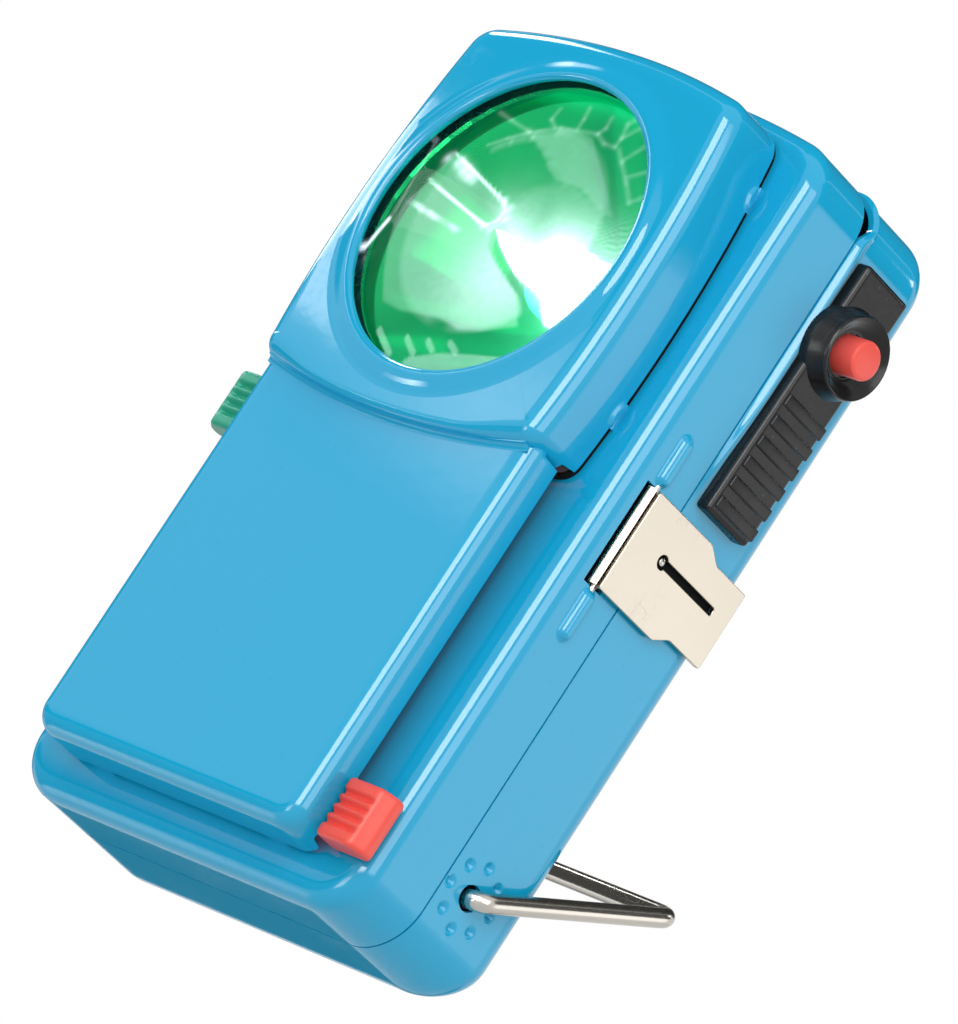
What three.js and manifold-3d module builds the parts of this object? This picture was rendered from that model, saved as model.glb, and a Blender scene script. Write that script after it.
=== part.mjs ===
// Morse signal lamp: a pressed sheet-metal hand lamp for a flat battery, with two sliding colour filters.
// Millimetres, +Z up. The lamp stands upright on its flat underside and shines towards -Y.
// The origin is the middle of the underside.
// "Depth" below is measured backwards from the tray's front face.
import * as THREE from "three";
import { mergeVertices } from "three/addons/utils/BufferGeometryUtils.js";
import Module from "manifold-3d";

const wasm = await Module();
wasm.setup();

// Battery: a standard flat block. The case is built round it.
const batteryWidth = 62;
const batteryThickness = 22;
const batteryHeight = 65;
const batteryCorner = 4;
const batterySideRoom = 3.2;
const batteryFrontRoom = 3.7;
const batteryRearRoom = 3.5;
const lampRise = 26.1;
const crownRise = 32.3;

// Case: a front tray and a rear tray that meet at the seam
const frontDepth = 12.3;
const sheet = 0.8;
const gap = 0.3;
const crownRadius = 165;
const topCorner = 8;
const bottomCorner = 8;
const frontFillet = 3;
const rearFillet = 5;
const rearBottomFillet = 7.5;
const lipHeight = 0.8;
const lipDepth = 1.1;
const lipReach = 21.5;
const overrun = 2;
const weldShare = 0.0005;

// Front cover: a broad domed head over a narrower flat panel
const panelInset = 1.8;
const panelBottom = 5.85;
const panelHeight = 9;
const panelCorner = 4;
const panelFillet = 2.5;
const coverUnderGap = 0.85;
const headSideMargin = 5.95;
const headWaistDrop = 4.4;
const headTopRise = 30.2;
const headBottomDrop = 30.2;
const headHeight = 11.25;
const headSideRadius = 178;
const headArchRadius = 125;
const headTopCorner = 4.5;
const headLowCorner = 3.2;
const headFillet = 3;
const headLowFillet = 1.1;
const slotBelow = 1.3;
const slotIntoHead = 4.1;
const slotHeight = 3.2;
const tabWidth = 4;
const tabFoot = 3;
const upperTabRise = 18.5;
const lowerTabDrop = 16.5;
const bottomTabOffset = 18;
const lugRadius = 2.4;
const lugProud = 0.6;

// Lens, reflector and bulb, all about one axis
const holeRadius = 23.2;
const collarWidth = 3.6;
const collarHeight = 0.8;
const flangeWidth = 2.2;
const flangeThickness = 1.2;
const lensSag = 2.2;
const retainerThickness = 0.8;
const bowlDepth = 16;
const bowlNeck = 5.6;
const bowlWall = 0.6;
const bowlRoom = 0.8;
const sleeveWall = 0.7;
const sleeveLength = 6;
const sleeveFlange = 8;
const capRadius = 4.8;
const capLength = 9;
const capRecess = 3;
const tipRadius = 1.6;
const tipLength = 1.6;
const globeRadius = 5;
const globeNeck = 3.7;
const globeLength = 13;
const globeWall = 0.5;

// Colour slides: a thin pane with an arm that reaches a knob beside the panel
const paneOverlap = 1.6;
const paneThickness = 0.7;
const carrierTop = 0.8;
const paneCorner = 6;
const armHeight = 7;
const armStart = 4;
const armThickness = 0.8;
const knobLength = 9;
const knobWidth = 8.2;
const knobHeight = 5;
const knobBevelWidth = 1.6;
const knobBevelDrop = 2.1;
const knobRound = 1;
const knobFoot = 0.4;
const ridgeCount = 5;
const ridgeReach = 6.3;
const grooveRadius = 0.7;
const knobGrip = 4;
const knobPlay = 0.5;
const knobHeadRoom = 2.9;

// Lid hinge on the left long side
const knuckleRadius = 1.6;
const knuckleBore = 0.8;
const hingePinRadius = 0.5;
const knuckleLength = 8;
const knuckleCount = 5;
const hingeMiddle = 60;

// Clasp on the right long side
const claspBarrel = 1.5;
const claspBore = 0.8;
const claspPinRadius = 0.5;
const claspBeforeSeam = 5.9;
const claspAxisInset = 0.25;
const claspLength = 15.4;
const claspBelowSwitch = 2.5;
const shoulderInset = 1.7;
const shoulderAfterSeam = 7.1;
const shoulderLength = 2.8;
const claspPastSeam = 17.4;
const claspSheet = 0.8;
const tipCurl = 2.4;
const tipLift = 0.7;
const catchAfterSeam = 1.1;
const catchAboveMiddle = 1;
const catchHead = 1.3;
const catchSlotWidth = 1.6;
const catchSlotLength = 12.8;
const studRadius = 0.6;
const studHead = 0.9;
const studProud = 1.25;
const clearFront = 0.8;
const beadRadius = 1.25;
const beadLength = 8;
const beadSpacing = 0.6;
const pinInBead = 5.5;

// Morse switch: a slider on the rear tray's right wall that carries the key button
const switchAfterSeam = 6;
const switchWidth = 9.6;
const switchBelowBoss = 28.8;
const switchAboveBoss = 11.6;
const switchThickness = 2.4;
const switchEdge = 0.7;
const switchTravel = 4;
const bossRise = 9.1;
const bossRadius = 6.5;
const bossFlare = 0.5;
const bossProud = 5.3;
const dishRim = 5.7;
const dishFloor = 3.9;
const dishDepth = 2.2;
const ribCount = 6;
const ribPitch = 3.35;
const ribStart = 1.3;
const ribRadius = 0.6;
const buttonRadius = 2.8;
const buttonProud = 1.8;
const buttonEdge = 0.4;
const collarLedge = 0.7;
const collarThickness = 0.5;
const lipThickness = 0.4;
const stemRadius = 1.2;
const buttonTravel = 1.2;
const stemWidth = 3;
const stemLength = 6;
const stemBelowBoss = 18.6;
const keeperMargin = 3;
const keeperEndMargin = 3.5;
const keeperThickness = 0.8;
const stemHeadMargin = 0.9;
const stemHeadThickness = 0.5;

// Bail: a wire stand pivoted in the rear tray's side walls
const bailAfterSeam = 6;
const bailHeight = 13.5;
const bailWire = 1.1;
const bailHoleRoom = 0.9;
const bailStandOff = 2.4;
const bailLength = 36.2;
const bailAngle = 27.5;
const bailBend = 2.6;
const bendShare = 0.45;
const bailInside = 1.2;
const dimpleCount = 8;
const dimpleRing = 4.75;
const dimpleRadius = 0.85;
const dimpleDepth = 0.35;

// Battery tabs and contacts
const batteryTabWidth = 6;
const batteryTabOffset = 18;
const batteryTabFromBack = 5.5;
const batteryTabHeight = 9;
const batteryTabLean = 1.6;
const shortTabShare = 0.55;
const contactSheet = 0.4;
const boardInset = 4.6;
const boardThickness = 0.8;
const boardPastSeam = 2.3;
const boardWidth = 12.4;
const boardBelowLamp = 19.5;
const boardAboveLamp = 23.5;
const footRadius = 1.2;
const footInset = 2.2;
const bladeWidth = 5;
const bladeFoot = 2.5;
const bladeKneeDrop = 8.6;
const bladeBendDrop = 3.6;
const bladePastBoss = 5.4;
const bulbStripWidth = 5;
const bulbStripPast = 3;
const bulbStripFoot = 5.4;

// Facets
const roundFacets = 40;
const smallFacets = 16;
const tinyFacets = 8;
const filletSteps = 4;
const cornerSteps = 5;
const crownSteps = 6;
const sideSteps = 5;

const halfWidth = batteryWidth / 2 + batterySideRoom + sheet;
const innerWall = halfWidth - sheet;
const batteryDepth = sheet + batteryFrontRoom;
const caseDepth = batteryDepth + batteryThickness + batteryRearRoom + sheet;
const frontFace = -caseDepth / 2;
const back = (depth) => frontFace + depth;
const farOut = 2 * halfWidth;
const rightAngle = Math.PI / 2;

// The battery's lower corners rest in the case's rounded bottom corners, and the lamp sits above it
const batteryOverhang = bottomCorner - sheet - batterySideRoom;
const batteryFloor = bottomCorner - Math.sqrt((bottomCorner - sheet - gap) ** 2 - batteryOverhang ** 2);
const batteryTop = batteryFloor + batteryHeight;
const lampHeight = batteryTop + lampRise;
const caseHeight = lampHeight + crownRise;
const headWidth = 2 * (halfWidth - headSideMargin);
const panelWidth = headWidth - 2 * panelInset;
const headBottom = lampHeight - headBottomDrop;
const headWaist = lampHeight - headWaistDrop;
const headTop = lampHeight + headTopRise;
const headTabHeights = [lampHeight - lowerTabDrop, lampHeight + upperTabRise];
const bossHeight = lampHeight + bossRise;
const switchLow = bossHeight - switchBelowBoss;
const switchHigh = bossHeight + switchAboveBoss;
const claspHigh = switchLow - claspBelowSwitch;
const claspLow = claspHigh - claspLength;
const catchHeight = (claspLow + claspHigh) / 2 + catchAboveMiddle;
const slotBottom = panelBottom + slotBelow;
const slotTop = headBottom + slotIntoHead;
const raisedKnob = slotTop - knobHeadRoom - knobLength / 2;
const parkedKnob = slotBottom + knobPlay + knobLength / 2;
const X = new THREE.Vector3(1, 0, 0);
const Y = new THREE.Vector3(0, 1, 0);
const Z = new THREE.Vector3(0, 0, 1);

// Turns a closed geometry into a solid, and a solid back into a geometry
function toSolid(geometry) {
  const bare = geometry.clone();
  bare.deleteAttribute("normal");
  bare.deleteAttribute("uv");
  const merged = mergeVertices(bare, weldShare * sheet);
  const index = merged.index.array;
  const kept = [];
  for (let i = 0; i < index.length; i += 3) {
    const [a, b, c] = [index[i], index[i + 1], index[i + 2]];
    if (a !== b && b !== c && a !== c) kept.push(a, b, c);
  }
  const vertProperties = new Float32Array(merged.attributes.position.array);
  const mesh = new wasm.Mesh({ numProp: 3, vertProperties, triVerts: new Uint32Array(kept) });
  return new wasm.Manifold(mesh);
}

function toGeometry(solid) {
  const mesh = solid.getMesh();
  const geometry = new THREE.BufferGeometry();
  geometry.setAttribute("position", new THREE.BufferAttribute(new Float32Array(mesh.vertProperties), 3));
  geometry.setIndex(new THREE.BufferAttribute(new Uint32Array(mesh.triVerts), 1));
  geometry.computeVertexNormals();
  return geometry;
}

const join = (...parts) => toGeometry(parts.map(toSolid).reduce((sum, part) => sum.add(part)));
const cut = (base, ...tools) =>
  toGeometry(tools.map(toSolid).reduce((rest, tool) => rest.subtract(tool), toSolid(base)));
const common = (a, b) => toGeometry(toSolid(a).intersect(toSolid(b)));

// A box between two corners
function block([x0, x1], [y0, y1], [z0, z1]) {
  const box = new THREE.BoxGeometry(Math.abs(x1 - x0), Math.abs(y1 - y0), Math.abs(z1 - z0));
  return box.translate((x0 + x1) / 2, (y0 + y1) / 2, (z0 + z1) / 2);
}

// A body of revolution about a line along one axis. The profile runs along that axis from the line's start.
function turned(profile, axis, start, facets) {
  const points = profile.map(([along, radius]) => new THREE.Vector2(radius, along));
  const body = new THREE.LatheGeometry(points, facets);
  if (volumeOf(body) < 0) flip(body);
  body.applyQuaternion(new THREE.Quaternion().setFromUnitVectors(Y, axis));
  return body.translate(start.x, start.y, start.z);
}

// A round rod from one place along an axis
const rod = (radius, length, axis, start, facets = smallFacets) =>
  turned([[0, 0], [0, radius], [length, radius], [length, 0]], axis, start, facets);

function volumeOf(geometry) {
  const place = geometry.attributes.position;
  const index = geometry.index.array;
  const [a, b, c] = [new THREE.Vector3(), new THREE.Vector3(), new THREE.Vector3()];
  let total = 0;
  for (let i = 0; i < index.length; i += 3) {
    a.fromBufferAttribute(place, index[i]);
    b.fromBufferAttribute(place, index[i + 1]);
    c.fromBufferAttribute(place, index[i + 2]);
    total += a.dot(b.cross(c));
  }
  return total;
}

function flip(geometry) {
  const index = geometry.index.array;
  for (let i = 0; i < index.length; i += 3) {
    [index[i], index[i + 1]] = [index[i + 1], index[i]];
  }
  return geometry;
}

// A flat outline pushed out along X, Y or Z, from one level to another.
// Its two coordinates are the remaining axes in the order X, Y, Z.
function plate(points, axis, from, to, holes = []) {
  const shape = new THREE.Shape(points.map(([u, v]) => new THREE.Vector2(u, v)));
  for (const hole of holes) {
    shape.holes.push(new THREE.Path(hole.map(([u, v]) => new THREE.Vector2(u, v))));
  }
  const body = new THREE.ExtrudeGeometry(shape, { depth: Math.abs(to - from), bevelEnabled: false });
  const low = Math.min(from, to);
  const turns = {
    X: new THREE.Matrix4().set(0, 0, 1, low, 1, 0, 0, 0, 0, 1, 0, 0, 0, 0, 0, 1),
    Y: new THREE.Matrix4().set(1, 0, 0, 0, 0, 0, 1, low, 0, 1, 0, 0, 0, 0, 0, 1),
    Z: new THREE.Matrix4().set(1, 0, 0, 0, 0, 1, 0, 0, 0, 0, 1, low, 0, 0, 0, 1),
  };
  body.applyMatrix4(turns[axis]);
  const solid = mergeVertices(stripped(body), weldShare * sheet);
  return volumeOf(solid) < 0 ? flip(solid) : solid;
}

function stripped(geometry) {
  geometry.deleteAttribute("normal");
  geometry.deleteAttribute("uv");
  return geometry;
}

function circlePoints(u, v, radius, count) {
  return Array.from({ length: count }, (_, i) => {
    const angle = (2 * Math.PI * i) / count;
    return [u + radius * Math.cos(angle), v + radius * Math.sin(angle)];
  });
}

// A rectangle with rounded corners, listed anticlockwise
function roundedRectangle([u0, u1], [v0, v1], radius, steps = cornerSteps) {
  const corners = [[u1, v0, -1, 1], [u1, v1, -1, -1], [u0, v1, 1, -1], [u0, v0, 1, 1]];
  return corners.flatMap(([u, v, du, dv], turn) =>
    Array.from({ length: steps + 1 }, (_, i) => {
      const angle = rightAngle * (turn - 1 + i / steps);
      return [u + du * radius + radius * Math.cos(angle), v + dv * radius + radius * Math.sin(angle)];
    }));
}

// Outlines seen from the front. Each point carries its outward normal, so that rings can be drawn in or out
function arcRun(x, z, radius, from, to, steps) {
  return Array.from({ length: steps + 1 }, (_, i) => {
    const angle = from + ((to - from) * i) / steps;
    const [nx, nz] = [Math.cos(angle), Math.sin(angle)];
    return { x: x + radius * nx, z: z + radius * nz, nx, nz };
  });
}

function mirrored(half) {
  const left = half.slice(0, -1).map(({ x, z, nx, nz }) => ({ x: -x, z, nx: -nx, nz }));
  return [...half, ...left.reverse()];
}

// Straight sides and bottom under an arched top
function archedOutline({ half, bottom, top, arch, lowCorner, highCorner }) {
  const archCentre = top - arch;
  const run = half - highCorner;
  const cornerHeight = archCentre + Math.sqrt((arch - highCorner) ** 2 - run ** 2);
  const lean = Math.atan2(cornerHeight - archCentre, run);
  const low = arcRun(half - lowCorner, bottom + lowCorner, lowCorner, -rightAngle, 0, cornerSteps);
  const high = arcRun(run, cornerHeight, highCorner, 0, lean, cornerSteps);
  const side = Array.from({ length: sideSteps - 1 }, (_, i) => {
    const share = (i + 1) / sideSteps;
    return { x: half, z: bottom + lowCorner + share * (cornerHeight - bottom - lowCorner), nx: 1, nz: 0 };
  });
  const crown = arcRun(0, archCentre, arch, lean, rightAngle, crownSteps).slice(1);
  return mirrored([...low, ...side, ...high, ...crown]);
}

// Where a fillet circle that touches two arcs from inside has its centre
function filletCentre(a, b, radius, upper) {
  const [ra, rb] = [a.radius - radius, b.radius - radius];
  const [dx, dz] = [b.x - a.x, b.z - a.z];
  const distance = Math.hypot(dx, dz);
  const along = (ra ** 2 - rb ** 2 + distance ** 2) / (2 * distance);
  const across = Math.sqrt(ra ** 2 - along ** 2) * (upper ? 1 : -1);
  return {
    x: a.x + (along * dx - across * dz) / distance,
    z: a.z + (along * dz + across * dx) / distance,
  };
}

// Four bulging sides with rounded corners
function bulgedOutline({ half, waist, bottom, top, side, arch, lowCorner, highCorner }) {
  const flank = { x: half - side, z: waist, radius: side };
  const roof = { x: 0, z: top - arch, radius: arch };
  const sill = { x: 0, z: bottom + arch, radius: arch };
  const high = filletCentre(flank, roof, highCorner, true);
  const low = filletCentre(flank, sill, lowCorner, false);
  const angleFrom = (circle, point) => Math.atan2(point.z - circle.z, point.x - circle.x);
  const [sillEnd, sideStart] = [angleFrom(sill, low), angleFrom(flank, low)];
  const [sideEnd, roofStart] = [angleFrom(flank, high), angleFrom(roof, high)];
  return mirrored([
    ...arcRun(sill.x, sill.z, arch, -rightAngle, sillEnd, crownSteps).slice(1, -1),
    ...arcRun(low.x, low.z, lowCorner, sillEnd, sideStart, cornerSteps),
    ...arcRun(flank.x, flank.z, side, sideStart, sideEnd, crownSteps).slice(1, -1),
    ...arcRun(high.x, high.z, highCorner, sideEnd, roofStart, cornerSteps),
    ...arcRun(roof.x, roof.z, arch, roofStart, rightAngle, crownSteps).slice(1),
  ]);
}

// Joins rings of points, each drawn in from an outline and set at a depth, and closes both ends
function loft(outline, stations) {
  const places = [];
  const faces = [];
  const count = outline.length;
  for (const { inset, y } of stations) {
    for (const point of outline) {
      const draw = inset(point);
      places.push(point.x - draw * point.nx, y(point), point.z - draw * point.nz);
    }
  }
  for (let ring = 0; ring + 1 < stations.length; ring++) {
    for (let i = 0; i < count; i++) {
      const [a, b] = [ring * count + i, ring * count + ((i + 1) % count)];
      faces.push(a, b, a + count, b, b + count, a + count);
    }
  }
  for (const [ring, turn] of [[0, 1], [stations.length - 1, -1]]) {
    const centre = places.length / 3;
    const own = Array.from({ length: count }, (_, i) => 3 * (ring * count + i));
    const mean = (part) => own.reduce((sum, i) => sum + places[i + part], 0) / count;
    places.push(mean(0), mean(1), mean(2));
    for (let i = 0; i < count; i++) {
      const [a, b] = [ring * count + i, ring * count + ((i + 1) % count)];
      faces.push(...(turn > 0 ? [centre, b, a] : [centre, a, b]));
    }
  }
  const body = new THREE.BufferGeometry();
  body.setAttribute("position", new THREE.Float32BufferAttribute(places, 3));
  body.setIndex(faces);
  return volumeOf(body) < 0 ? flip(body) : body;
}

// Stations of a pressed wall: round the fillet from the face, then straight to the rim.
// toward is +1 where the rim lies behind the face and -1 where it lies in front.
function wallStations({ face, rim, toward, fillet, inset = 0, lip = () => 0 }) {
  const stations = [];
  for (let step = 0; step <= filletSteps; step++) {
    const angle = (rightAngle * step) / filletSteps;
    stations.push({
      inset: (p) => inset + (fillet(p) - inset) * (1 - Math.sin(angle)),
      y: (p) => face + toward * (inset + (fillet(p) - inset) * (1 - Math.cos(angle))),
    });
  }
  const drawn = (share) => (p) => inset - share * lip(p);
  stations.push({ inset: drawn(0), y: () => rim - toward * lipDepth });
  stations.push({ inset: drawn(1), y: () => rim - (toward * lipDepth) / 2 });
  stations.push({ inset: drawn(1), y: () => rim });
  return stations;
}

const tray = (outline, sizes) =>
  loft(outline, [...wallStations(sizes), ...wallStations({ ...sizes, inset: sheet }).reverse()]);
const plug = (outline, sizes, inset) =>
  loft(outline, wallStations({ ...sizes, rim: sizes.rim + sizes.toward * overrun, inset }));

const caseOutline = archedOutline({
  half: halfWidth, bottom: 0, top: caseHeight, arch: crownRadius,
  lowCorner: bottomCorner, highCorner: topCorner,
});
const panelOutline = archedOutline({
  half: panelWidth / 2, bottom: panelBottom, top: headWaist, arch: headArchRadius,
  lowCorner: panelCorner, highCorner: panelCorner,
});
const headOutline = bulgedOutline({
  half: headWidth / 2, waist: headWaist, bottom: headBottom, top: headTop, side: headSideRadius,
  arch: headArchRadius, lowCorner: headLowCorner, highCorner: headTopCorner,
});
// Half the head's outer width at a height on its bulging side
const headHalfAt = (z) =>
  headWidth / 2 - headSideRadius + Math.sqrt(headSideRadius ** 2 - (z - headWaist) ** 2);

const lampAxisAt = (depth) => new THREE.Vector3(0, back(depth), lampHeight);
const seam = back(frontDepth);

// Lid hinge: rolled knuckles on both trays' left edges, turn about, on one pin
const hingeX = -halfWidth - knuckleRadius - gap;
const knucklePitch = knuckleLength + gap;
const hingeLow = hingeMiddle - (knuckleCount * knucklePitch - gap) / 2;

function knuckle(place, toward) {
  const low = hingeLow + place * knucklePitch;
  const round = circlePoints(hingeX, seam, knuckleRadius, smallFacets);
  const curl = plate(round, "Z", low, low + knuckleLength);
  const webNear = seam + toward * (knuckleRadius - sheet);
  const webFar = seam + toward * knuckleRadius;
  const web = block([hingeX, -innerWall - sheet / 2], [webNear, webFar], [low, low + knuckleLength]);
  const start = new THREE.Vector3(hingeX, seam, low - overrun);
  return cut(join(curl, web), rod(knuckleBore, knuckleLength + 2 * overrun, Z, start));
}

const placesFrom = (first) => {
  const places = [];
  for (let place = first; place < knuckleCount; place += 2) places.push(place);
  return places;
};

// Clasp places shared by the tray's slot, its beads, the pin and the plate
const claspX = halfWidth - claspAxisInset;
const catchY = seam + catchAfterSeam;
const claspY = seam - claspBeforeSeam;
const pinPast = beadSpacing + pinInBead;

// A pressed bead in the tray's wall beyond one end of the clasp, with a bore for the pin.
// direction is +1 above the clasp and -1 below it.
function bead(claspEnd, direction) {
  const middle = claspEnd + direction * (beadSpacing + beadLength / 2);
  const straight = beadLength - 2 * beadRadius;
  const capsule = new THREE.CapsuleGeometry(beadRadius, straight, filletSteps, tinyFacets);
  capsule.rotateX(rightAngle).translate(claspX, claspY, middle);
  const outside = block(
    [innerWall + gap, farOut], [back(0), seam], [middle - beadLength, middle + beadLength],
  );
  const start = new THREE.Vector3(claspX, claspY, claspEnd - direction * gap);
  const away = Z.clone().multiplyScalar(direction);
  const bore = rod(claspPinRadius + gap, pinPast + 2 * gap, away, start, tinyFacets);
  return { raised: common(capsule, outside), bore };
}

function frontShell() {
  const body = tray(caseOutline, {
    face: frontFace, rim: seam - gap / 2, toward: 1, fillet: () => frontFillet,
  });
  const beads = [bead(claspHigh, 1), bead(claspLow, -1)];
  const knuckles = placesFrom(1).map((place) => knuckle(place, -1));
  const barrelSlot = block(
    [innerWall - sheet, farOut],
    [claspY - claspBarrel - clearFront, claspY + claspBarrel + gap],
    [claspLow - gap, claspHigh + gap],
  );
  const lampHole = rod(bowlAtFace + bowlRoom, sheet + 2 * overrun, Y, lampAxisAt(-overrun), roundFacets);
  return cut(
    join(body, ...beads.map(({ raised }) => raised), ...knuckles),
    ...beads.map(({ bore }) => bore), barrelSlot, lampHole, ...coverTabs(gap),
  );
}

// Cover tabs: strips of the cover's wall that pass through the tray's face and are bent over behind it.
// With a clearance they are the tools that cut the tray's slits, without the bent feet.
function coverTabs(clearance) {
  const tabs = [];
  const start = back(-slotHeight / 2);
  const end = back(sheet + gap + sheet);
  const reach = clearance > 0 ? back(sheet + gap / 2) : end;
  const grown = (low, high) => [low - clearance, high + clearance];
  for (const side of [-1, 1]) {
    for (const height of headTabHeights) {
      const wall = headHalfAt(height) - sheet;
      const band = grown(height - tabWidth / 2, height + tabWidth / 2);
      const strip = grown(wall, wall + sheet).map((x) => side * x);
      tabs.push(block(strip, [start, reach], band));
      const foot = [side * wall, side * (wall - tabFoot)];
      if (clearance === 0) tabs.push(block(foot, [end - sheet, end], band));
    }
    const middle = side * bottomTabOffset;
    const band = grown(middle - tabWidth / 2, middle + tabWidth / 2);
    tabs.push(block(band, [start, reach], grown(panelBottom, panelBottom + sheet)));
    if (clearance === 0) {
      tabs.push(block(band, [end - sheet, end], [panelBottom, panelBottom + sheet + tabFoot]));
    }
  }
  return tabs;
}

// Front cover: two pressed levels, the head over the panel, with collar, lugs, slots and bent tabs
function frontCover() {
  const panel = {
    face: back(-panelHeight), rim: back(-coverUnderGap), toward: 1, fillet: () => panelFillet,
  };
  const head = {
    face: back(-headHeight), rim: back(-gap), toward: 1,
    fillet: ({ nz }) => headFillet - (headFillet - headLowFillet) * Math.max(0, -nz),
  };
  const solid = (sizes, outline) => loft(outline, wallStations(sizes));
  const face = back(-headHeight);
  const collarPeak = collarWidth / 3;
  const collar = turned([
    [headFillet, holeRadius - sheet], [0, holeRadius - sheet], [-collarHeight, holeRadius],
    [-collarHeight, holeRadius + collarPeak], [-collarHeight / 2, holeRadius + 2 * collarPeak],
    [0, holeRadius + collarWidth], [headFillet, holeRadius + collarWidth], [headFillet, holeRadius - sheet],
  ], Y, new THREE.Vector3(0, face, lampHeight), roundFacets);
  const lugs = [-1, 1].flatMap((side) => headTabHeights.map((height) => {
    const x = side * (headHalfAt(height) - sheet);
    const start = new THREE.Vector3(x, back(-gap), height);
    const disc = rod(lugRadius, sheet + lugProud, X.clone().multiplyScalar(side), start, smallFacets);
    return common(disc, block([-farOut, farOut], [back(-headHeight), back(-gap)], [0, caseHeight]));
  }));
  const outer = join(solid(head, headOutline), solid(panel, panelOutline), collar, ...lugs);
  const hole = rod(holeRadius, headHeight, Y, lampAxisAt(-headHeight - overrun), roundFacets);
  const slots = [-1, 1].map((side) => block(
    [side * (panelWidth / 2 - panelCorner + sheet), side * farOut],
    [back(-slotHeight), back(overrun)], [slotBottom, slotTop],
  ));
  const hollows = [plug(headOutline, head, sheet), plug(panelOutline, panel, sheet)];
  return join(cut(outer, ...hollows, hole, ...slots), ...coverTabs(0));
}

// Lens: a clear domed disc with a flat flange that lies behind the head's hole
const lensBack = -headHeight + sheet + gap + flangeThickness;
const flangeRadius = holeRadius + flangeWidth;

function lens() {
  const domeRadius = holeRadius - gap;
  const curve = (domeRadius ** 2 + lensSag ** 2) / (2 * lensSag);
  const rise = (radius) => Math.sqrt(curve ** 2 - radius ** 2) - (curve - lensSag);
  const steps = filletSteps;
  const dome = Array.from({ length: steps }, (_, i) => (domeRadius * i) / steps);
  const front = dome.map((radius) => [-flangeThickness - rise(radius), radius]);
  const rear = dome.map((radius) => [-rise(radius), radius]).reverse();
  const rim = [
    [-flangeThickness, domeRadius], [-flangeThickness, flangeRadius], [0, flangeRadius], [0, domeRadius],
  ];
  return turned([...front, ...rim, ...rear], Y, lampAxisAt(lensBack), roundFacets);
}

// Lens retainer: a sheet frame that fits inside the head's walls and bears on the flange
const retainerBack = lensBack + gap + retainerThickness;

function lensRetainer() {
  const clearance = sheet + gap;
  const points = headOutline.map(({ x, z, nx, nz }) => [x - clearance * nx, z - clearance * nz]);
  const hole = circlePoints(0, lampHeight, holeRadius + gap, roundFacets);
  return plate(points, "Y", back(lensBack + gap), back(retainerBack), [hole]);
}

// Reflector: a parabola of revolution that passes through the tray's face, with a neck for the bulb.
// Its rim turns back into a skirt that stands on the face.
const bowlStart = paneFront(2);
const bowlRim = holeRadius;
const bowlSpan = (bowlRim ** 2 - bowlNeck ** 2) / bowlDepth;
const bowlVertex = bowlStart + bowlRim ** 2 / bowlSpan;
const focusDepth = bowlVertex - bowlSpan / 4;
const bowlAtFace = Math.sqrt(bowlSpan * bowlVertex) + bowlWall;

function reflector() {
  const steps = 2 * filletSteps;
  const inside = Array.from({ length: steps + 1 }, (_, i) => {
    const radius = bowlRim + ((bowlNeck - bowlRim) * i) / steps;
    return [bowlVertex - radius ** 2 / bowlSpan, radius];
  });
  const outside = inside.map(([depth, radius]) => {
    const slope = (2 * radius) / bowlSpan;
    const length = Math.hypot(1, slope);
    const behindRim = Math.max(depth + bowlWall / length, bowlStart + bowlWall);
    return [behindRim, radius + (bowlWall * slope) / length];
  }).reverse();
  const skirt = [
    [bowlStart + bowlWall, flangeRadius - bowlWall], [-gap, flangeRadius - bowlWall], [-gap, flangeRadius],
    [bowlStart, flangeRadius],
  ];
  return turned([...inside, ...outside, ...skirt, inside[0]], Y, lampAxisAt(0), roundFacets);
}

const neckDepth = bowlStart + bowlDepth + bowlWall + gap;

function bulbSocket() {
  const bore = capRadius + gap;
  const sleeveRadius = bore + sleeveWall;
  const end = neckDepth + sleeveLength;
  return turned([
    [neckDepth, bore], [neckDepth, sleeveFlange], [neckDepth + bowlWall, sleeveFlange],
    [neckDepth + bowlWall, sleeveRadius], [end, sleeveRadius], [end, bore], [neckDepth, bore],
  ], Y, lampAxisAt(0), smallFacets * 2);
}

// Bulb: a hollow glass globe whose open neck stands in the metal cap's recess
const capStart = focusDepth + globeLength / 2;
const capEnd = capStart + capLength;

function bulbCap() {
  return turned([
    [capStart + capRecess, 0], [capStart + capRecess, globeNeck + gap], [capStart, globeNeck + gap],
    [capStart, capRadius], [capEnd, capRadius], [capEnd, tipRadius], [capEnd + tipLength, tipRadius / 2],
    [capEnd + tipLength, 0],
  ], Y, lampAxisAt(0), smallFacets * 2);
}

function bulbGlass() {
  const neckEnd = capStart + capRecess - gap;
  const tip = neckEnd - globeLength;
  const centre = tip + globeRadius;
  const shell = (radius, neck) => {
    const run = Array.from({ length: cornerSteps }, (_, i) => {
      const angle = Math.PI - (i * (Math.PI - Math.asin(neck / radius))) / cornerSteps;
      return [centre + radius * Math.cos(angle), radius * Math.sin(angle)];
    });
    return [...run, [centre + Math.sqrt(radius ** 2 - neck ** 2), neck], [neckEnd, neck]];
  };
  const inner = shell(globeRadius - globeWall, globeNeck - globeWall).reverse();
  inner[inner.length - 1][1] = 0;
  const outer = shell(globeRadius, globeNeck);
  outer[0][1] = 0;
  return turned([...outer, ...inner], Y, lampAxisAt(0), smallFacets);
}

// Colour slides. Layer 0 runs next to the lens retainer and layer 1 next to the reflector's rim.
// A pane's carrier steps back beside the panes to an arm that leaves the cover through its side slot.
// The pane ends at the lens hole's lower edge when it is parked.
function paneFront(layer) {
  return retainerBack + gap + layer * (paneThickness + gap);
}
const parkedTop = lampHeight - holeRadius - gap;
const paneHalf = holeRadius + paneOverlap;
const armFront = -(slotHeight + armThickness) / 2;

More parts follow.
